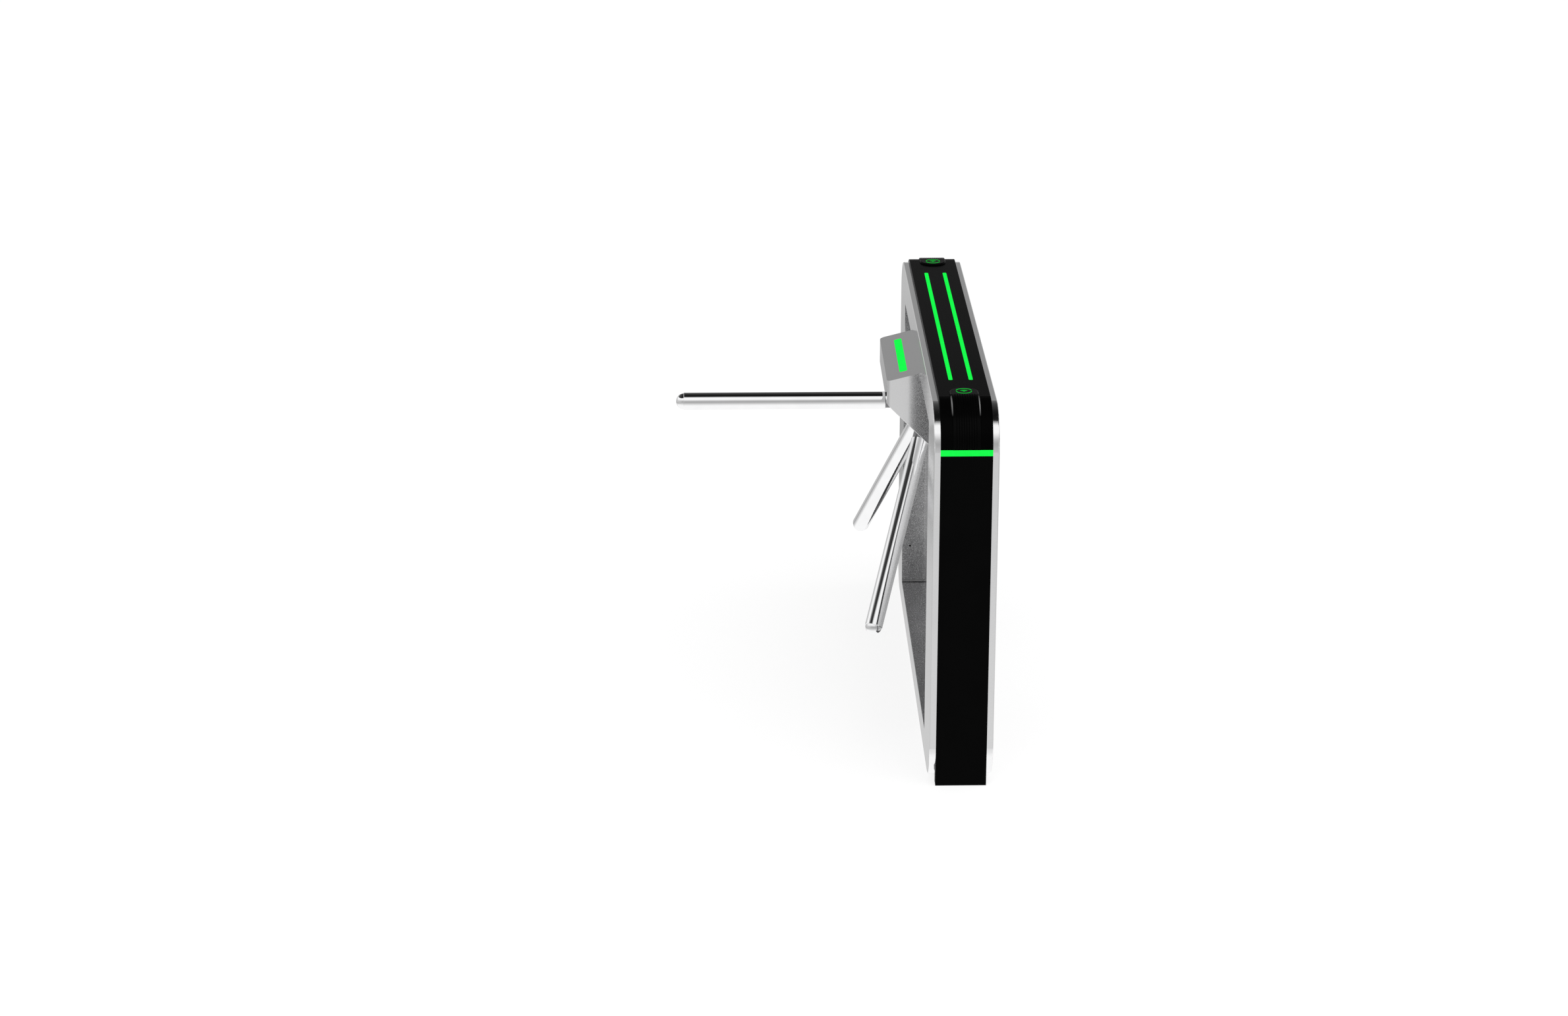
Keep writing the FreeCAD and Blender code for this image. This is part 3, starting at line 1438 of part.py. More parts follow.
for number, (along, up) in enumerate(((0.1, 0.1), (0.9, 0.1), (0.1, 0.9), (0.9, 0.9))):
    posts.append(
        rod(
            f"standoff_{number}",
            "standoff_radius",
            "standoff_length",
            (TRAY_FACE, f"{CONTROL_Y} + {along} * control_length", f"{CONTROL_Z} + {up} * control_height"),
            "x",
        )
    )
relay = block(
    "relay_row",
    ("standoff_length * 2", "control_length / 2", "control_height / 5"),
    (
        f"{TRAY_FACE} + standoff_length + board_thick",
        f"{CONTROL_Y} + control_length / 4",
        f"{CONTROL_Z} + control_height / 5",
    ),
)
node(fuse("control", [board, relay] + posts), "control_board")

# Build the document, test every object and write one file for each piece

doc.recompute()
for piece in doc.Objects:
    if {"Invalid", "Error"} & set(piece.State):
        raise RuntimeError(f"{piece.Name} failed: {piece.State}")
os.makedirs("parts", exist_ok=True)
for piece in NODES:
    if piece.Shape.isNull() or not piece.Shape.isValid() or not piece.Shape.Solids:
        raise RuntimeError(f"{piece.Label} has no valid solid")
    piece.Shape.exportStep(f"parts/{piece.Label}.step")
print(len(NODES), "nodes written")
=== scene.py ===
import math

import bmesh
import bpy
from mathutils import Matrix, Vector


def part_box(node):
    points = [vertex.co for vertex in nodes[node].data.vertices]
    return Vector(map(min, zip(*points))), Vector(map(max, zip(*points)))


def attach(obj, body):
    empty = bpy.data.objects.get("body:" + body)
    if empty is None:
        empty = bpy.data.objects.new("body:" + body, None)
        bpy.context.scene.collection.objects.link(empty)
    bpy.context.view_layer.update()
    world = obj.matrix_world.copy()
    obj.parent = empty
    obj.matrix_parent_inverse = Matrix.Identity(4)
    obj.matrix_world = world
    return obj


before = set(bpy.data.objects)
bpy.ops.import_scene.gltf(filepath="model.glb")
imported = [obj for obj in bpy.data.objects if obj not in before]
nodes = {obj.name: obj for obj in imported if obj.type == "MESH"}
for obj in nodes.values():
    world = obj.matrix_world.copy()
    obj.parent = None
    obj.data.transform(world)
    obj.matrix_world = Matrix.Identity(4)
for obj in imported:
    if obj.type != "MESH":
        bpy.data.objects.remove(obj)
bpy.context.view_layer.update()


# ---- Base plate, bulkheads, top rail and tray
# The hidden skeleton of the cabinet: laser-cut and folded sheet, screwed together and anchored to
# the floor. It is hot-dip galvanised, so zinc flakes of a fingernail's size show on every face.


def new_finish(name, **settings):
    """A bare finish: the material, its nodes, its shader and the place on the piece in metres."""
    made = bpy.data.materials.new(name)
    made.use_nodes = True
    tree = made.node_tree
    shader = tree.nodes["Principled BSDF"]
    for setting, value in settings.items():
        shader.inputs[setting.replace("_", " ")].default_value = value
    place = tree.nodes.new("ShaderNodeTexCoord").outputs["Object"]
    return made, tree, shader, place


def grain(tree, place, size, detail=2.0, stretch=None):
    """Soft speckle with marks of about that size in metres, drawn out along an axis by stretch."""
    if stretch:
        drawn = tree.nodes.new("ShaderNodeMapping")
        drawn.inputs["Scale"].default_value = stretch
        tree.links.new(place, drawn.inputs["Vector"])
        place = drawn.outputs["Vector"]
    noise = tree.nodes.new("ShaderNodeTexNoise")
    noise.inputs["Scale"].default_value = 1 / size
    noise.inputs["Detail"].default_value = detail
    tree.links.new(place, noise.inputs["Vector"])
    return noise.outputs[0]


def both(tree, one, other, share):
    """Two numbers laid over each other, the second taking that share."""
    mix = tree.nodes.new("ShaderNodeMix")
    tree.links.new(one, mix.inputs["A"])
    tree.links.new(other, mix.inputs["B"])
    if isinstance(share, float):
        mix.inputs["Factor"].default_value = share
    else:
        tree.links.new(share, mix.inputs["Factor"])
    return mix.outputs["Result"]


def level(tree, amount, low, high, start=0.3, end=0.7):
    """A number that goes from low to high as the amount goes from start to end."""
    span = tree.nodes.new("ShaderNodeMapRange")
    for socket, value in (("From Min", start), ("From Max", end), ("To Min", low), ("To Max", high)):
        span.inputs[socket].default_value = value
    tree.links.new(amount, span.inputs["Value"])
    return span.outputs["Result"]


def shades(tree, amount, *stops):
    """A colour that runs through the stops, each a place from 0 to 1 and a colour."""
    ramp = tree.nodes.new("ShaderNodeValToRGB")
    while len(ramp.color_ramp.elements) < len(stops):
        ramp.color_ramp.elements.new(1.0)
    for element, (where, colour) in zip(ramp.color_ramp.elements, stops):
        element.position = where
        element.color = (*colour, 1.0)
    tree.links.new(amount, ramp.inputs["Fac"])
    return ramp.outputs["Color"]


def relief(tree, shader, amount, depth):
    """Raises the surface by that many metres where the amount is high."""
    bump = tree.nodes.new("ShaderNodeBump")
    bump.inputs["Distance"].default_value = depth
    bump.inputs["Strength"].default_value = 1.0
    tree.links.new(amount, bump.inputs["Height"])
    tree.links.new(bump.outputs["Normal"], shader.inputs["Normal"])


def dress(finish, *names):
    """Puts the finish on those pieces of the frame."""
    for name in names:
        nodes[name].material_slots[0].material = finish


galvanised, tree, shader, place = new_finish("galvanised_sheet", Metallic=0.9)
flakes = tree.nodes.new("ShaderNodeTexVoronoi")
flakes.inputs["Scale"].default_value = 90
tree.links.new(place, flakes.inputs["Vector"])
spangle = both(tree, flakes.outputs["Color"], grain(tree, place, 0.004, 4), 0.45)
zinc_greys = shades(
    tree, spangle,
    (0.15, (0.36, 0.37, 0.39)), (0.55, (0.5, 0.51, 0.52)), (0.9, (0.62, 0.63, 0.64)),
)
tree.links.new(zinc_greys, shader.inputs["Base Color"])
tree.links.new(level(tree, spangle, 0.52, 0.34), shader.inputs["Roughness"])
relief(tree, shader, spangle, 0.00006)
dress(
    galvanised,
    "base_plate", "front_mid_bulkhead", "rear_mid_bulkhead", "front_end_bulkhead", "rear_end_bulkhead",
    "top_rail", "equipment_tray",
)


# ---- Cable grommet
# A ring of black rubber pressed into the hole in the floor plate, so that the supply cable isn't
# cut by the sheet's edge. It has a dusty bloom from its mould.


def speckled(name, first, second, share, dark, light, roughness, depth, start=0.3, **settings):
    """A finish whose colour, roughness and relief follow two speckles, the second with that share.

    A speckle is the size of its marks in metres and their detail. The depth is in metres.
    """
    made, tree, shader, place = new_finish(name, **settings)
    mottle = both(tree, grain(tree, place, *first), grain(tree, place, *second), share)
    tree.links.new(shades(tree, mottle, (start, dark), (0.7, light)), shader.inputs["Base Color"])
    tree.links.new(level(tree, mottle, *roughness), shader.inputs["Roughness"])
    if depth:
        relief(tree, shader, mottle, depth)
    return made


rubber = speckled(
    "grommet_rubber", first=(0.006, 3), second=(0.0008, 2), share=0.4,
    dark=(0.012, 0.012, 0.012), light=(0.035, 0.034, 0.033), start=0.35,
    roughness=(0.65, 0.85), depth=0.00012,
)
dress(rubber, "cable_grommet")


# ---- Power supply, terminal block and circuit boards
# The electrics screwed to the tray and the pads: a supply in a grey case, a row of clamps in a black
# moulding, and boards with a green solder mask over copper tracks.
case_plastic = speckled(
    "supply_case", first=(0.0011, 2), second=(0.03, 3), share=0.35,
    dark=(0.3, 0.31, 0.32), light=(0.39, 0.4, 0.41),
    roughness=(0.42, 0.6), depth=0.00008,
)
dress(case_plastic, "power_supply")

board_mask, tree, shader, place = new_finish("board_mask")
tracks = tree.nodes.new("ShaderNodeTexBrick")
for socket, value in (
    ("Scale", 1.0), ("Mortar Size", 0.00035), ("Brick Width", 0.011), ("Row Height", 0.0026),
    ("Color1", (0.012, 0.1, 0.04, 1)), ("Color2", (0.018, 0.125, 0.05, 1)),
    ("Mortar", (0.06, 0.24, 0.09, 1)),
):
    tracks.inputs[socket].default_value = value
turned_place = tree.nodes.new("ShaderNodeMapping")
turned_place.inputs["Rotation"].default_value = (math.radians(90), 0, math.radians(90))
tree.links.new(place, turned_place.inputs["Vector"])
tree.links.new(turned_place.outputs["Vector"], tracks.inputs["Vector"])
tree.links.new(tracks.outputs["Color"], shader.inputs["Base Color"])
tree.links.new(level(tree, grain(tree, place, 0.004, 3), 0.28, 0.42), shader.inputs["Roughness"])
relief(tree, shader, tracks.outputs["Fac"], 0.00004)
dress(board_mask, "control_board", "reader_boards", "top_light_boards")

moulding = speckled(
    "black_moulding", first=(0.0009, 2), second=(0.02, 3), share=0.35,
    dark=(0.0055, 0.0055, 0.006), light=(0.011, 0.011, 0.0115),
    roughness=(0.4, 0.55), depth=0.00005,
)
dress(moulding, "terminal_block")


# ---- Mechanism plate, cheeks, shaft, gears and pawls
# The turning gear behind the head: a tilted plate on two cheeks carries the cast bearing housing, and
# the shaft carries the index disc and a brass gear. Milled and turned steel shows fine tool marks.
tool_marks = (1, 0.06, 1)
machined = speckled(
    "milled_steel", first=(0.0006, 2, tool_marks), second=(0.02, 3), share=0.4,
    dark=(0.44, 0.44, 0.45), light=(0.62, 0.62, 0.63),
    roughness=(0.24, 0.42), depth=0.00003, Metallic=1.0,
)
dress(
    machined,
    "mechanism_plate", "front_mechanism_cheek", "rear_mechanism_cheek", "main_shaft", "index_disc",
    "shaft_bearings", "damper_pinion", "front_lock_pawl", "rear_lock_pawl", "pawl_pins",
    "front_plunger", "rear_plunger",
)

cast = speckled(
    "cast_housing", first=(0.0016, 3), second=(0.012, 3), share=0.4,
    dark=(0.13, 0.13, 0.135), light=(0.25, 0.25, 0.26),
    roughness=(0.5, 0.72), depth=0.0003, Metallic=0.75,
)
dress(cast, "bearing_housing")

anodised = speckled(
    "anodised_body", first=(0.0007, 2), second=(0.025, 2), share=0.35,
    dark=(0.52, 0.52, 0.54), light=(0.66, 0.66, 0.68),
    roughness=(0.3, 0.45), depth=0.00003, Metallic=1.0,
)
dress(anodised, "damper_body")

brass = speckled(
    "cut_brass", first=(0.014, 4), second=(0.0007, 2), share=0.35,
    dark=(0.5, 0.34, 0.12), light=(0.74, 0.55, 0.24),
    roughness=(0.42, 0.24), depth=0.00003, Metallic=1.0,
)
dress(brass, "drive_gear")

zinc = speckled(
    "zinc_bolts", first=(0.003, 3), second=(0.0006, 2), share=0.5,
    dark=(0.34, 0.34, 0.36), light=(0.5, 0.5, 0.5),
    roughness=(0.28, 0.45), depth=0.00003, Metallic=1.0,
)
dress(zinc, "cheek_bolts", "bearing_bolts", "head_bolts", "hub_bolt")
dress(moulding, "encoder_disc", "position_sensor", "front_solenoid", "rear_solenoid")


# ---- Side panels
# The two big side plates, pressed from thick stainless sheet with round corners and a softened rim.
# The outside is ground to a bright satin. The pressed-in walls keep a rougher blasted grain and are
# darkened with painted shade, lighter on the niche's back wall and darkest in the lower corners.
niche_half, niche_foot, niche_head, niche_back = 0.5385, 0.0655, 0.8895, 0.0175
panel_skin, bend = 0.0782, 0.0077
corner_shade_grey = (0.3, 0.3, 0.3, 1)


def count(tree, kind, one, other=0):
    """One sum on two numbers, either of them fixed."""
    made = tree.nodes.new("ShaderNodeMath")
    made.operation = kind
    for socket, value in zip(made.inputs, (one, other)):
        if isinstance(value, (int, float)):
            socket.default_value = value
        else:
            tree.links.new(value, socket)
    return made.outputs[0]


def all_of(tree, mask, *others):
    """A mask that is 1 where all of these are."""
    for other in others:
        mask = count(tree, "MULTIPLY", mask, other)
    return mask


def blended(tree, factor, one, other):
    """One colour fading to the other."""
    mix = tree.nodes.new("ShaderNodeMix")
    mix.data_type = "RGBA"
    for socket, value in ((mix.inputs["Factor"], factor), (mix.inputs[6], one), (mix.inputs[7], other)):
        if isinstance(value, tuple):
            socket.default_value = value
        else:
            tree.links.new(value, socket)
    return mix.outputs[2]


def place_on(tree):
    """The place on the piece: across and along it from the cabinet's middle, and the height."""
    axes = tree.nodes.new("ShaderNodeSeparateXYZ")
    tree.links.new(tree.nodes["Texture Coordinate"].outputs["Object"], axes.inputs[0])
    across, along = (count(tree, "ABSOLUTE", axes.outputs[axis]) for axis in "XY")
    return across, along, axes.outputs["Z"]


def satin_steel(name, skin, back, fade=0.0001, cheek=-1.0, head=niche_head):
    """Bright satin steel; deeper than the skin it is blasted and darkened with painted shade, lighter
    deeper than the back.
    """
    made, tree, shader, place = new_finish(name, Metallic=1.0)
    drawn = (1, 0.33, 1)
    salt = both(tree, grain(tree, place, 0.0021, 2, drawn), grain(tree, place, 0.0009, 2, drawn), 0.45)
    clouds = grain(tree, place, 0.16, 3)
    bright = shades(
        tree, both(tree, salt, clouds, 0.35),
        (0.34, (0.88, 0.88, 0.885)), (0.5, (0.92, 0.92, 0.924)), (0.66, (0.96, 0.96, 0.963)),
    )
    blasted = both(tree, salt, clouds, 0.15)
    # Painted shade: the blasted colour is much darker than the satin, partly its own grain and partly
    # painted shade of the recess. The paler copy is lighter painted shade for the niche's back wall.
    shaded_blast = shades(
        tree, blasted,
        (0.36, (0.24, 0.24, 0.242)), (0.5, (0.52, 0.52, 0.524)), (0.64, (0.88, 0.88, 0.885)),
    )
    lightly_shaded_blast = shades(
        tree, blasted,
        (0.36, (0.56, 0.56, 0.563)), (0.5, (0.7, 0.7, 0.704)), (0.64, (0.86, 0.86, 0.865)),
    )
    across, along, up = place_on(tree)
    inside = all_of(
        tree,
        level(tree, across, 1.0, 0.0, skin - fade, skin + fade),
        count(tree, "GREATER_THAN", along, cheek),
        count(tree, "LESS_THAN", along, niche_half),
        count(tree, "GREATER_THAN", up, niche_foot),
        count(tree, "LESS_THAN", up, head),
    )
    # Painted shade: the lower corners of the recess, along the fillet at the foot of its end walls, are
    # darkened to a flat grey.
    painted_corner_shade = all_of(
        tree,
        count(tree, "GREATER_THAN", along, niche_half - bend),
        count(tree, "LESS_THAN", up, niche_foot + bend),
    )
    shaded_recess = blended(tree, count(tree, "LESS_THAN", across, back), shaded_blast, lightly_shaded_blast)
    shaded_recess = blended(tree, painted_corner_shade, shaded_recess, corner_shade_grey)
    tree.links.new(blended(tree, inside, bright, shaded_recess), shader.inputs["Base Color"])
    smooth = level(tree, both(tree, salt, clouds, 0.4), 0.075, 0.115)
    rough = level(tree, salt, 0.17, 0.3)
    tree.links.new(both(tree, smooth, rough, inside), shader.inputs["Roughness"])
    relief(tree, shader, salt, 0.00003)
    return made


dress(satin_steel("satin_left_steel", panel_skin, niche_back), "left_side_panel")
dress(satin_steel("satin_right_steel", panel_skin, 0.0), "right_side_panel")


# ---- End panels and sensor eye
# The narrow front and rear of the core, folded from sheet and powder-coated in a dead black that
# shows hardly any gloss. The small sensor window in the niche's rear wall is as black.
dead_black = speckled(
    "dead_black_coat", first=(0.0008, 2), second=(0.09, 3), share=0.4,
    dark=(0.0008, 0.0008, 0.0008), light=(0.0016, 0.0016, 0.0016),
    roughness=(0.34, 0.46), depth=0.00004, Specular_IOR_Level=0.03,
)
dress(dead_black, "front_panel", "rear_panel", "sensor_eye")


# ---- Top cover
# One folded black cover that runs over the top and rolls down over both ends. Its powder coat is
# smoother than the ends' coat, and the light from above turns it dark grey.
cover_black = speckled(
    "cover_coat", first=(0.0012, 2), second=(0.12, 3), share=0.4,
    dark=(0.0008, 0.0008, 0.0008), light=(0.0018, 0.0018, 0.0018),
    roughness=(0.16, 0.24), depth=0.00004, Specular_IOR_Level=0.009,
)
dress(cover_black, "top_cover")


# ---- Green lights
# Strips, bands and rings of milky green acrylic with lamps behind them, pressed into slots in the
# cover, under its ends and in the head. They glow evenly, a trace softer between the lamps.
strip_glow, ring_glow = 1.0, 0.62
lit_green, tree, shader, place = new_finish(
    "lit_acrylic", Emission_Strength=strip_glow, Specular_IOR_Level=0.0
)
haze = both(tree, grain(tree, place, 0.012, 2), grain(tree, place, 0.0012, 2), 0.3)
tree.links.new(
    shades(tree, haze, (0.3, (0.0095, 0.93, 0.072)), (0.7, (0.0112, 0.99, 0.081))),
    shader.inputs["Emission Color"],
)
tree.links.new(
    shades(tree, haze, (0.3, (0.0, 0.012, 0.001)), (0.7, (0.0, 0.02, 0.002))),
    shader.inputs["Base Color"],
)
tree.links.new(level(tree, haze, 0.42, 0.55), shader.inputs["Roughness"])
lit_green.cycles.emission_sampling = "NONE"
dress(
    lit_green,
    "left_top_light", "right_top_light", "front_light_band", "rear_light_band", "head_light",
)
ring_green = lit_green.copy()
ring_green.name = "lit_ring"
ring_green.node_tree.nodes["Principled BSDF"].inputs["Emission Strength"].default_value = ring_glow
dress(ring_green, "front_ring_light", "rear_ring_light")


# ---- Reader pads
# Two black mouldings that stand on the cover's rounded ends, with nine fine grooves down the outside.
# The side rims over the bend carry a painted highlight, a lighter grey with a little metal. A small
# sign of three waves over a dot glows in the middle of each ring.
highlight_across, highlight_along, highlight_up = (0.0318, 0.0326), (0.64, 0.68), (0.957, 0.984)
rim_highlight_grey, rim_highlight_metal = (0.3, 0.3, 0.3, 1), 0.3
arc_place, arc_height, groove_floor = 0.6321, 0.881, 0.1085
pad_gloss, groove_gloss = 0.03, 0.003


def recolour(made, mask, colour):
    """Gives the finish another colour where the mask is 1."""
    tree = made.node_tree
    socket = tree.nodes["Principled BSDF"].inputs["Base Color"]
    tree.links.new(blended(tree, mask, socket.links[0].from_socket, colour), socket)


pad_black = speckled(
    "pad_black", first=(0.0009, 2), second=(0.03, 3), share=0.4,
    dark=(0.0008, 0.0008, 0.0008), light=(0.0018, 0.0018, 0.0018),
    roughness=(0.2, 0.27), depth=0.00003,
)
tree = pad_black.node_tree
shader = tree.nodes["Principled BSDF"]
across, along, up = place_on(tree)
# Painted highlight: the side rims over the bend are turned a lighter, partly metallic grey.
painted_rim_highlight = all_of(
    tree,
    level(tree, across, 0.0, 1.0, *highlight_across),
    level(tree, along, 0.0, 1.0, *highlight_along),
    level(tree, up, 0.0, 1.0, *highlight_up),
)
recolour(pad_black, painted_rim_highlight, rim_highlight_grey)
tree.links.new(count(tree, "MULTIPLY", painted_rim_highlight, rim_highlight_metal), shader.inputs["Metallic"])
outward = count(tree, "SUBTRACT", along, arc_place)
upward = count(tree, "SUBTRACT", up, arc_height)
reach = count(
    tree, "ADD", count(tree, "MULTIPLY", outward, outward), count(tree, "MULTIPLY", upward, upward)
)
groove = all_of(
    tree, count(tree, "LESS_THAN", reach, groove_floor ** 2), count(tree, "GREATER_THAN", outward, 0.0)
)
tree.links.new(
    level(tree, groove, pad_gloss, groove_gloss, 0.0, 1.0), shader.inputs["Specular IOR Level"]
)
dress(pad_black, "front_reader_pad", "rear_reader_pad")

sign_lift, sign_drop, arc_steps = 0.0003, 0.0045, 28
wave_breadth, dot_breadth = 0.0012, 0.0030
sign_arcs = (
    (0.0, 180, dot_breadth),
    (0.0048, 52, wave_breadth),
    (0.0080, 50, wave_breadth),
    (0.0112, 48, wave_breadth),
)
for end in ("front", "rear"):
    ring_low, ring_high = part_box(end + "_ring_light")
    middle = (ring_low + ring_high) / 2
    foot = Vector((middle.x, middle.y - sign_drop, ring_low.z))
    sign = bmesh.new()
    for radius, half_angle, breadth in sign_arcs:
        loops = []
        for k in range(arc_steps + 1):
            turn = math.radians(90 - half_angle + 2 * half_angle * k / arc_steps)
            way = Vector((math.cos(turn), math.sin(turn), 0))
            inner = foot + way * max(radius - breadth / 2, 0.0)
            outer = foot + way * (radius + breadth / 2)
            loops.append(
                [sign.verts.new(p + Vector((0, 0, h))) for h in (0.0, sign_lift) for p in (inner, outer)]
            )
        for (a, b, c, d), (e, f, g, h) in zip(loops, loops[1:]):
            for corners in ((a, e, f, b), (b, f, h, d), (d, h, g, c), (c, g, e, a)):
                sign.faces.new(corners)
        if radius:
            first, last = loops[0], loops[-1]
            sign.faces.new((first[0], first[1], first[3], first[2]))
            sign.faces.new((last[2], last[3], last[1], last[0]))
    bmesh.ops.remove_doubles(sign, verts=sign.verts, dist=1e-7)
    bmesh.ops.recalc_face_normals(sign, faces=sign.faces)
    mesh = bpy.data.meshes.new(end + "_pad_sign")
    sign.to_mesh(mesh)
    sign.free()
    mesh.materials.append(ring_green)
    piece = bpy.data.objects.new(end + "_pad_sign", mesh)
    bpy.context.scene.collection.objects.link(piece)
    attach(piece, "cabinet")


# ---- Head housing
# The welded box on the left side that hides the turning gear, with a sloped underside where the hub
# comes out. It is satin stainless like the panels. Its end faces are blasted and darkened with painted
# shade where they meet the panels, and a painted highlight runs as a bright line along the slope.
head_shade_line, shade_fade, head_top = 0.1, 0.012, 1.0
cheek_face, slope_line, slope_highlight_width = 0.1979, 0.66074, 0.0017
slope_highlight_grey, slope_highlight_metal = (0.95, 0.95, 0.95, 1), 0.15
# Painted shade: the end faces darken towards the panels, fading in over the last stretch.
head_steel = satin_steel(
    "satin_head_steel", head_shade_line, 0.0, fade=shade_fade, cheek=cheek_face, head=head_top
)
tree = head_steel.node_tree
shader = tree.nodes["Principled BSDF"]
across, along, up = place_on(tree)
# Painted highlight: a thin, nearly white line along the sloped edges of the end faces.
painted_slope_highlight = all_of(
    tree,
    count(tree, "LESS_THAN", count(tree, "SUBTRACT", up, across), slope_line + slope_highlight_width),
    count(tree, "GREATER_THAN", along, cheek_face),
)
recolour(head_steel, painted_slope_highlight, slope_highlight_grey)
tree.links.new(level(tree, painted_slope_highlight, 1.0, slope_highlight_metal, 0.0, 1.0), shader.inputs["Metallic"])
dress(head_steel, "head_housing")


# ---- Hub
# A turned and milled hub with three angled bosses, bolted to the shaft. It is satin aluminium, and the
# cap hides the bolt.
hub_satin = speckled(
    "hub_satin", first=(0.0009, 2), second=(0.03, 3), share=0.4,
    dark=(0.2, 0.2, 0.205), light=(0.3, 0.3, 0.305),
    roughness=(0.24, 0.36), depth=0.00003, Metallic=1.0,
)
dress(hub_satin, "tripod_hub", "hub_cap")


# ---- Arms, end caps and set screws
# Three stainless tubes pushed over the hub's bosses and held by set screws, each closed by a pressed
# dome. They are mirror-polished, with the faint smears that hands leave.
mirror = speckled(
    "mirror_steel", first=(0.05, 3), second=(0.0025, 2), share=0.3,
    dark=(0.9, 0.9, 0.905), light=(0.96, 0.96, 0.965),
    roughness=(0.018, 0.045), depth=0.0, Metallic=1.0,
)
dress(mirror, "arm_1", "arm_2", "arm_3", "arm_end_caps", "arm_set_screws")


# ---- Camera
# The view of the photograph: from high in front of the unit, a little to its left, through a long
# lens that looks about 19 degrees down.
look_down, look_right = 19.249, 1.1454
camera = bpy.data.objects.new("camera", bpy.data.cameras.new("camera"))
camera.data.sensor_width = 36.0
camera.data.lens = 76.454
camera.data.clip_end = 100.0
camera.location = (-0.5931, -8.350, 3.3946)
camera.rotation_euler = (math.radians(90 - look_down), 0, math.radians(-look_right))
bpy.context.scene.collection.objects.link(camera)
bpy.context.scene.camera = camera


# ---- Floor and studio
# A white floor that keeps a soft shadow, under a white sky. Polished steel mirrors the studio round
# it: a dark ceiling, a bright panel high in front, a pale back and a floor that pales towards the feet.
floor_half, floor_drop = 30, 0.0005
floor_mesh = bpy.data.meshes.new("floor")
floor_corners = [
    (x * floor_half, y * floor_half, 0) for x, y in ((-1, -1), (1, -1), (1, 1), (-1, 1))
]
floor_mesh.from_pydata(floor_corners, [], [(0, 1, 2, 3)])
floor = bpy.data.objects.new("floor", floor_mesh)
floor.location.z = -floor_drop
floor.visible_glossy = False
bpy.context.scene.collection.objects.link(floor)


def either(tree, factor, one, other):
    """One surface or background where the factor is 0, the other where it is 1."""
    mix = tree.nodes.new("ShaderNodeMixShader")
    tree.links.new(factor, mix.inputs["Fac"])
    tree.links.new(one.outputs[0], mix.inputs[1])
    tree.links.new(other.outputs[0], mix.inputs[2])
    return mix


white_floor = bpy.data.materials.new("white_floor")
white_floor.use_nodes = True
white_floor.cycles.emission_sampling = "NONE"
tree = white_floor.node_tree
tree.nodes.clear()
out = tree.nodes.new("ShaderNodeOutputMaterial")
matte = tree.nodes.new("ShaderNodeBsdfDiffuse")
matte.inputs["Color"].default_value = (0.85, 0.85, 0.85, 1)
pale = tree.nodes.new("ShaderNodeBsdfDiffuse")
pale.inputs["Color"].default_value = (0.25, 0.25, 0.25, 1)
glow = tree.nodes.new("ShaderNodeEmission")
glow.inputs["Strength"].default_value = 0.78
glowing = tree.nodes.new("ShaderNodeAddShader")
tree.links.new(pale.outputs[0], glowing.inputs[0])
tree.links.new(glow.outputs[0], glowing.inputs[1])
path = tree.nodes.new("ShaderNodeLightPath")
to_eye = either(tree, path.outputs["Is Camera Ray"], matte, glowing)
tree.links.new(to_eye.outputs[0], out.inputs["Surface"])
floor_mesh.materials.append(white_floor)

world = bpy.data.worlds.new("white_studio")
bpy.context.scene.world = world
world.use_nodes = True
world.cycles.sampling_method = "NONE"
tree = world.node_tree
heading = tree.nodes.new("ShaderNodeTexCoord").outputs["Generated"]
axes = tree.nodes.new("ShaderNodeSeparateXYZ")
tree.links.new(heading, axes.inputs[0])
height = level(tree, count(tree, "ARCSINE", axes.outputs["Z"]), -90.0, 90.0, -math.pi / 2, math.pi / 2)
bearing = count(tree, "ARCTAN2", axes.outputs["X"], axes.outputs["Y"])
to_front = level(tree, count(tree, "ABSOLUTE", bearing), 0.0, 1.0, 0.0, math.pi)


def tones(*stops):
    """A grey that runs through the stops, each a height in degrees and a brightness."""
    amount = level(tree, height, 0.0, 1.0, -90.0, 90.0)
    return shades(tree, amount, *[((h + 90) / 180, (g, g, g)) for h, g in stops])


def degrees_by_bearing(*stops):
    """Degrees that run through the stops, each with its share of the way from back to front."""
    ninetieths = shades(tree, to_front, *[(share, (d / 90,) * 3) for share, d in stops])
    return count(tree, "MULTIPLY", ninetieths, 90.0)


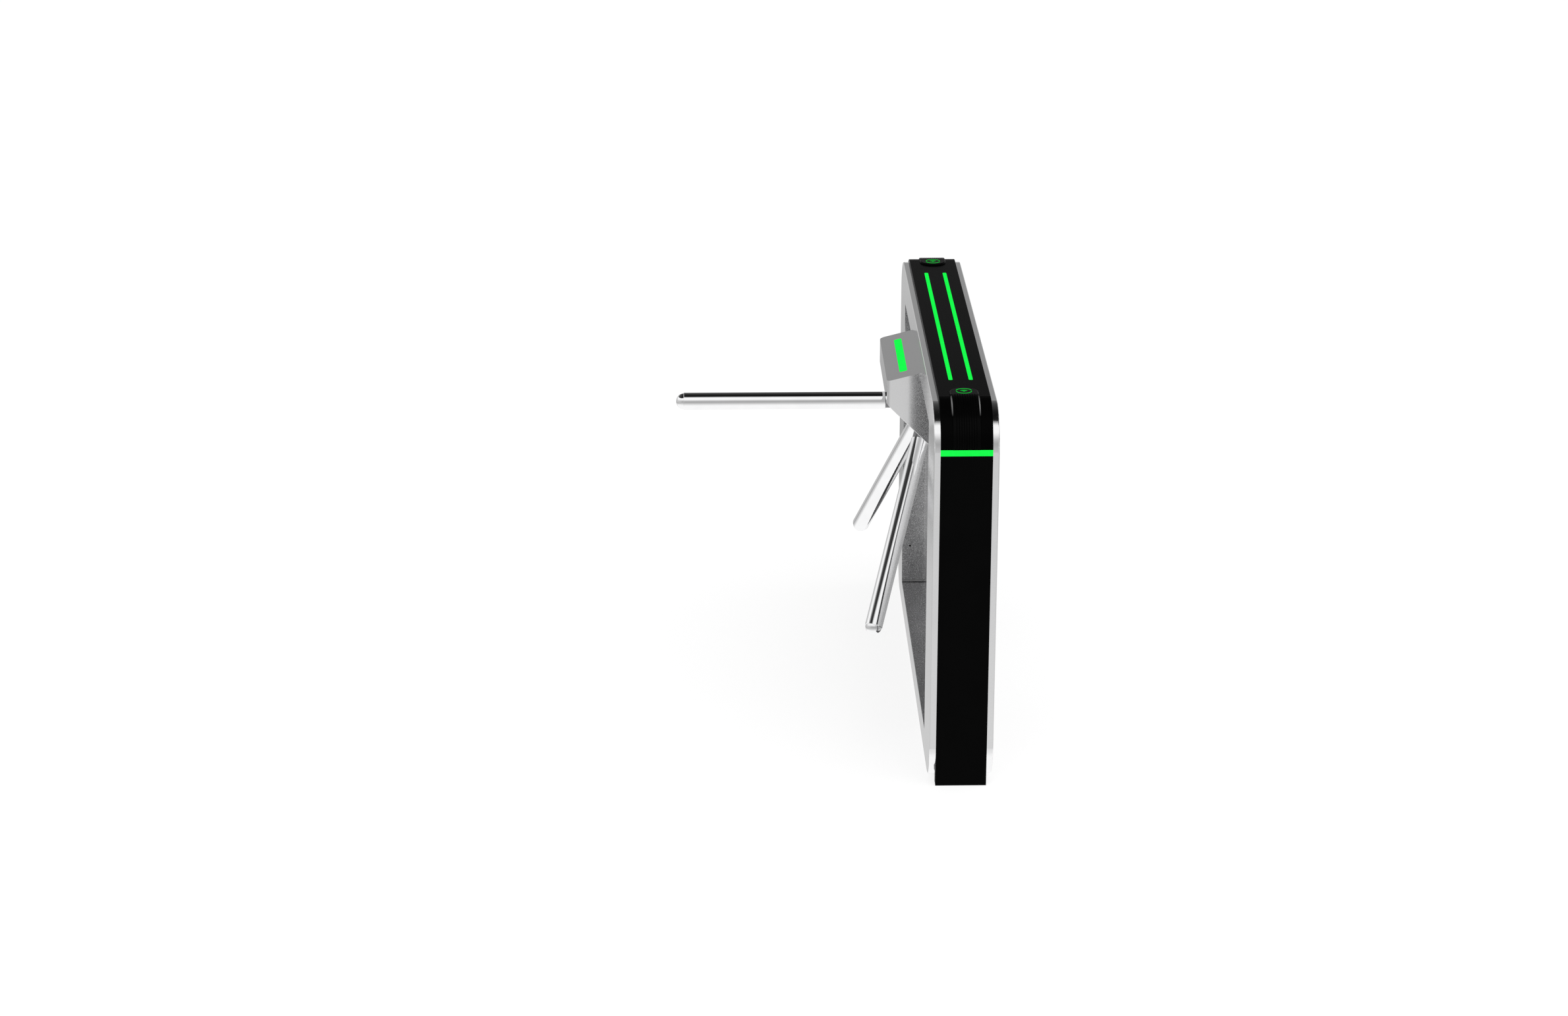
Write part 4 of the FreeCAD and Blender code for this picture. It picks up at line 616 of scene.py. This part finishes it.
ceiling = tones(
    (2, 0.36), (10, 0.29), (17, 0.3), (22, 0.16), (34, 0.08), (46, 0.05), (57, 0.034), (73, 0.014),
    (86, 0.008),
)
in_front = tones(
    (-52, 1.0), (-43, 0.95), (-30, 0.77), (-17, 0.61), (-6, 0.47), (6, 0.4), (17, 0.5), (29, 0.8),
    (38, 1.0), (90, 1.0),
)
behind = tones(
    (-38, 1.0), (-31, 0.86), (-25, 0.62), (-20.5, 0.58), (-18.5, 0.34), (-17, 0.4), (-15.5, 0.5),
    (-12, 0.56), (-3, 0.58), (3, 0.62), (10, 0.8), (16, 0.92), (24, 1.0), (90, 1.0),
)
low_part = blended(tree, level(tree, to_front, 0.0, 1.0, 0.45, 0.85), behind, in_front)
ceiling_edge = degrees_by_bearing(
    (0.0, 3), (0.12, 6), (0.3, 25), (0.53, 42), (0.71, 51), (0.83, 60), (1.0, 70.5)
)
edge_blur = degrees_by_bearing((0.0, 4), (0.53, 7), (0.83, 11), (1.0, 19))
past_edge = count(tree, "DIVIDE", count(tree, "SUBTRACT", height, ceiling_edge), edge_blur)
studio = blended(tree, level(tree, past_edge, 0.0, 1.0, -0.5, 0.5), low_part, ceiling)

mirrored = tree.nodes["Background"]
tree.links.new(studio, mirrored.inputs["Color"])
bare = tree.nodes.new("ShaderNodeBackground")
bare.inputs["Color"].default_value = (1, 1, 1, 1)
bare.inputs["Strength"].default_value = 0.45
seen = tree.nodes.new("ShaderNodeBackground")
seen.inputs["Color"].default_value = (1, 1, 1, 1)
path = tree.nodes.new("ShaderNodeLightPath")
in_metal = count(tree, "MAXIMUM", path.outputs["Is Glossy Ray"], path.outputs["Is Transmission Ray"])
to_metal = either(tree, in_metal, bare, mirrored)
to_eye = either(tree, path.outputs["Is Camera Ray"], to_metal, seen)
tree.links.new(to_eye.outputs[0], tree.nodes["World Output"].inputs["Surface"])

lit_point = Vector((0, 0, 0.6))
for name, kind, spot, size, power in (
    ("top_lamp", "SUN", (0.6, -1.0, 3.0), math.radians(75), 1.7),
    ("front_lamp", "AREA", (-2.6, -4.5, 2.8), 2.5, 45.0),
    ("side_lamp", "AREA", (4.2, 1.5, 2.6), 2.5, 30.0),
):
    lamp = bpy.data.objects.new(name, bpy.data.lights.new(name, kind))
    if kind == "SUN":
        lamp.data.angle = size
    else:
        lamp.data.size = size
    lamp.data.energy = power
    lamp.location = spot
    lamp.rotation_euler = (lit_point - Vector(spot)).to_track_quat("-Z", "Y").to_euler()
    lamp.visible_glossy = False
    bpy.context.scene.collection.objects.link(lamp)

bpy.context.scene.view_settings.view_transform = "Standard"


# ---- Scene update
# The scene is brought up to date once every piece is in place.
bpy.context.view_layer.update()
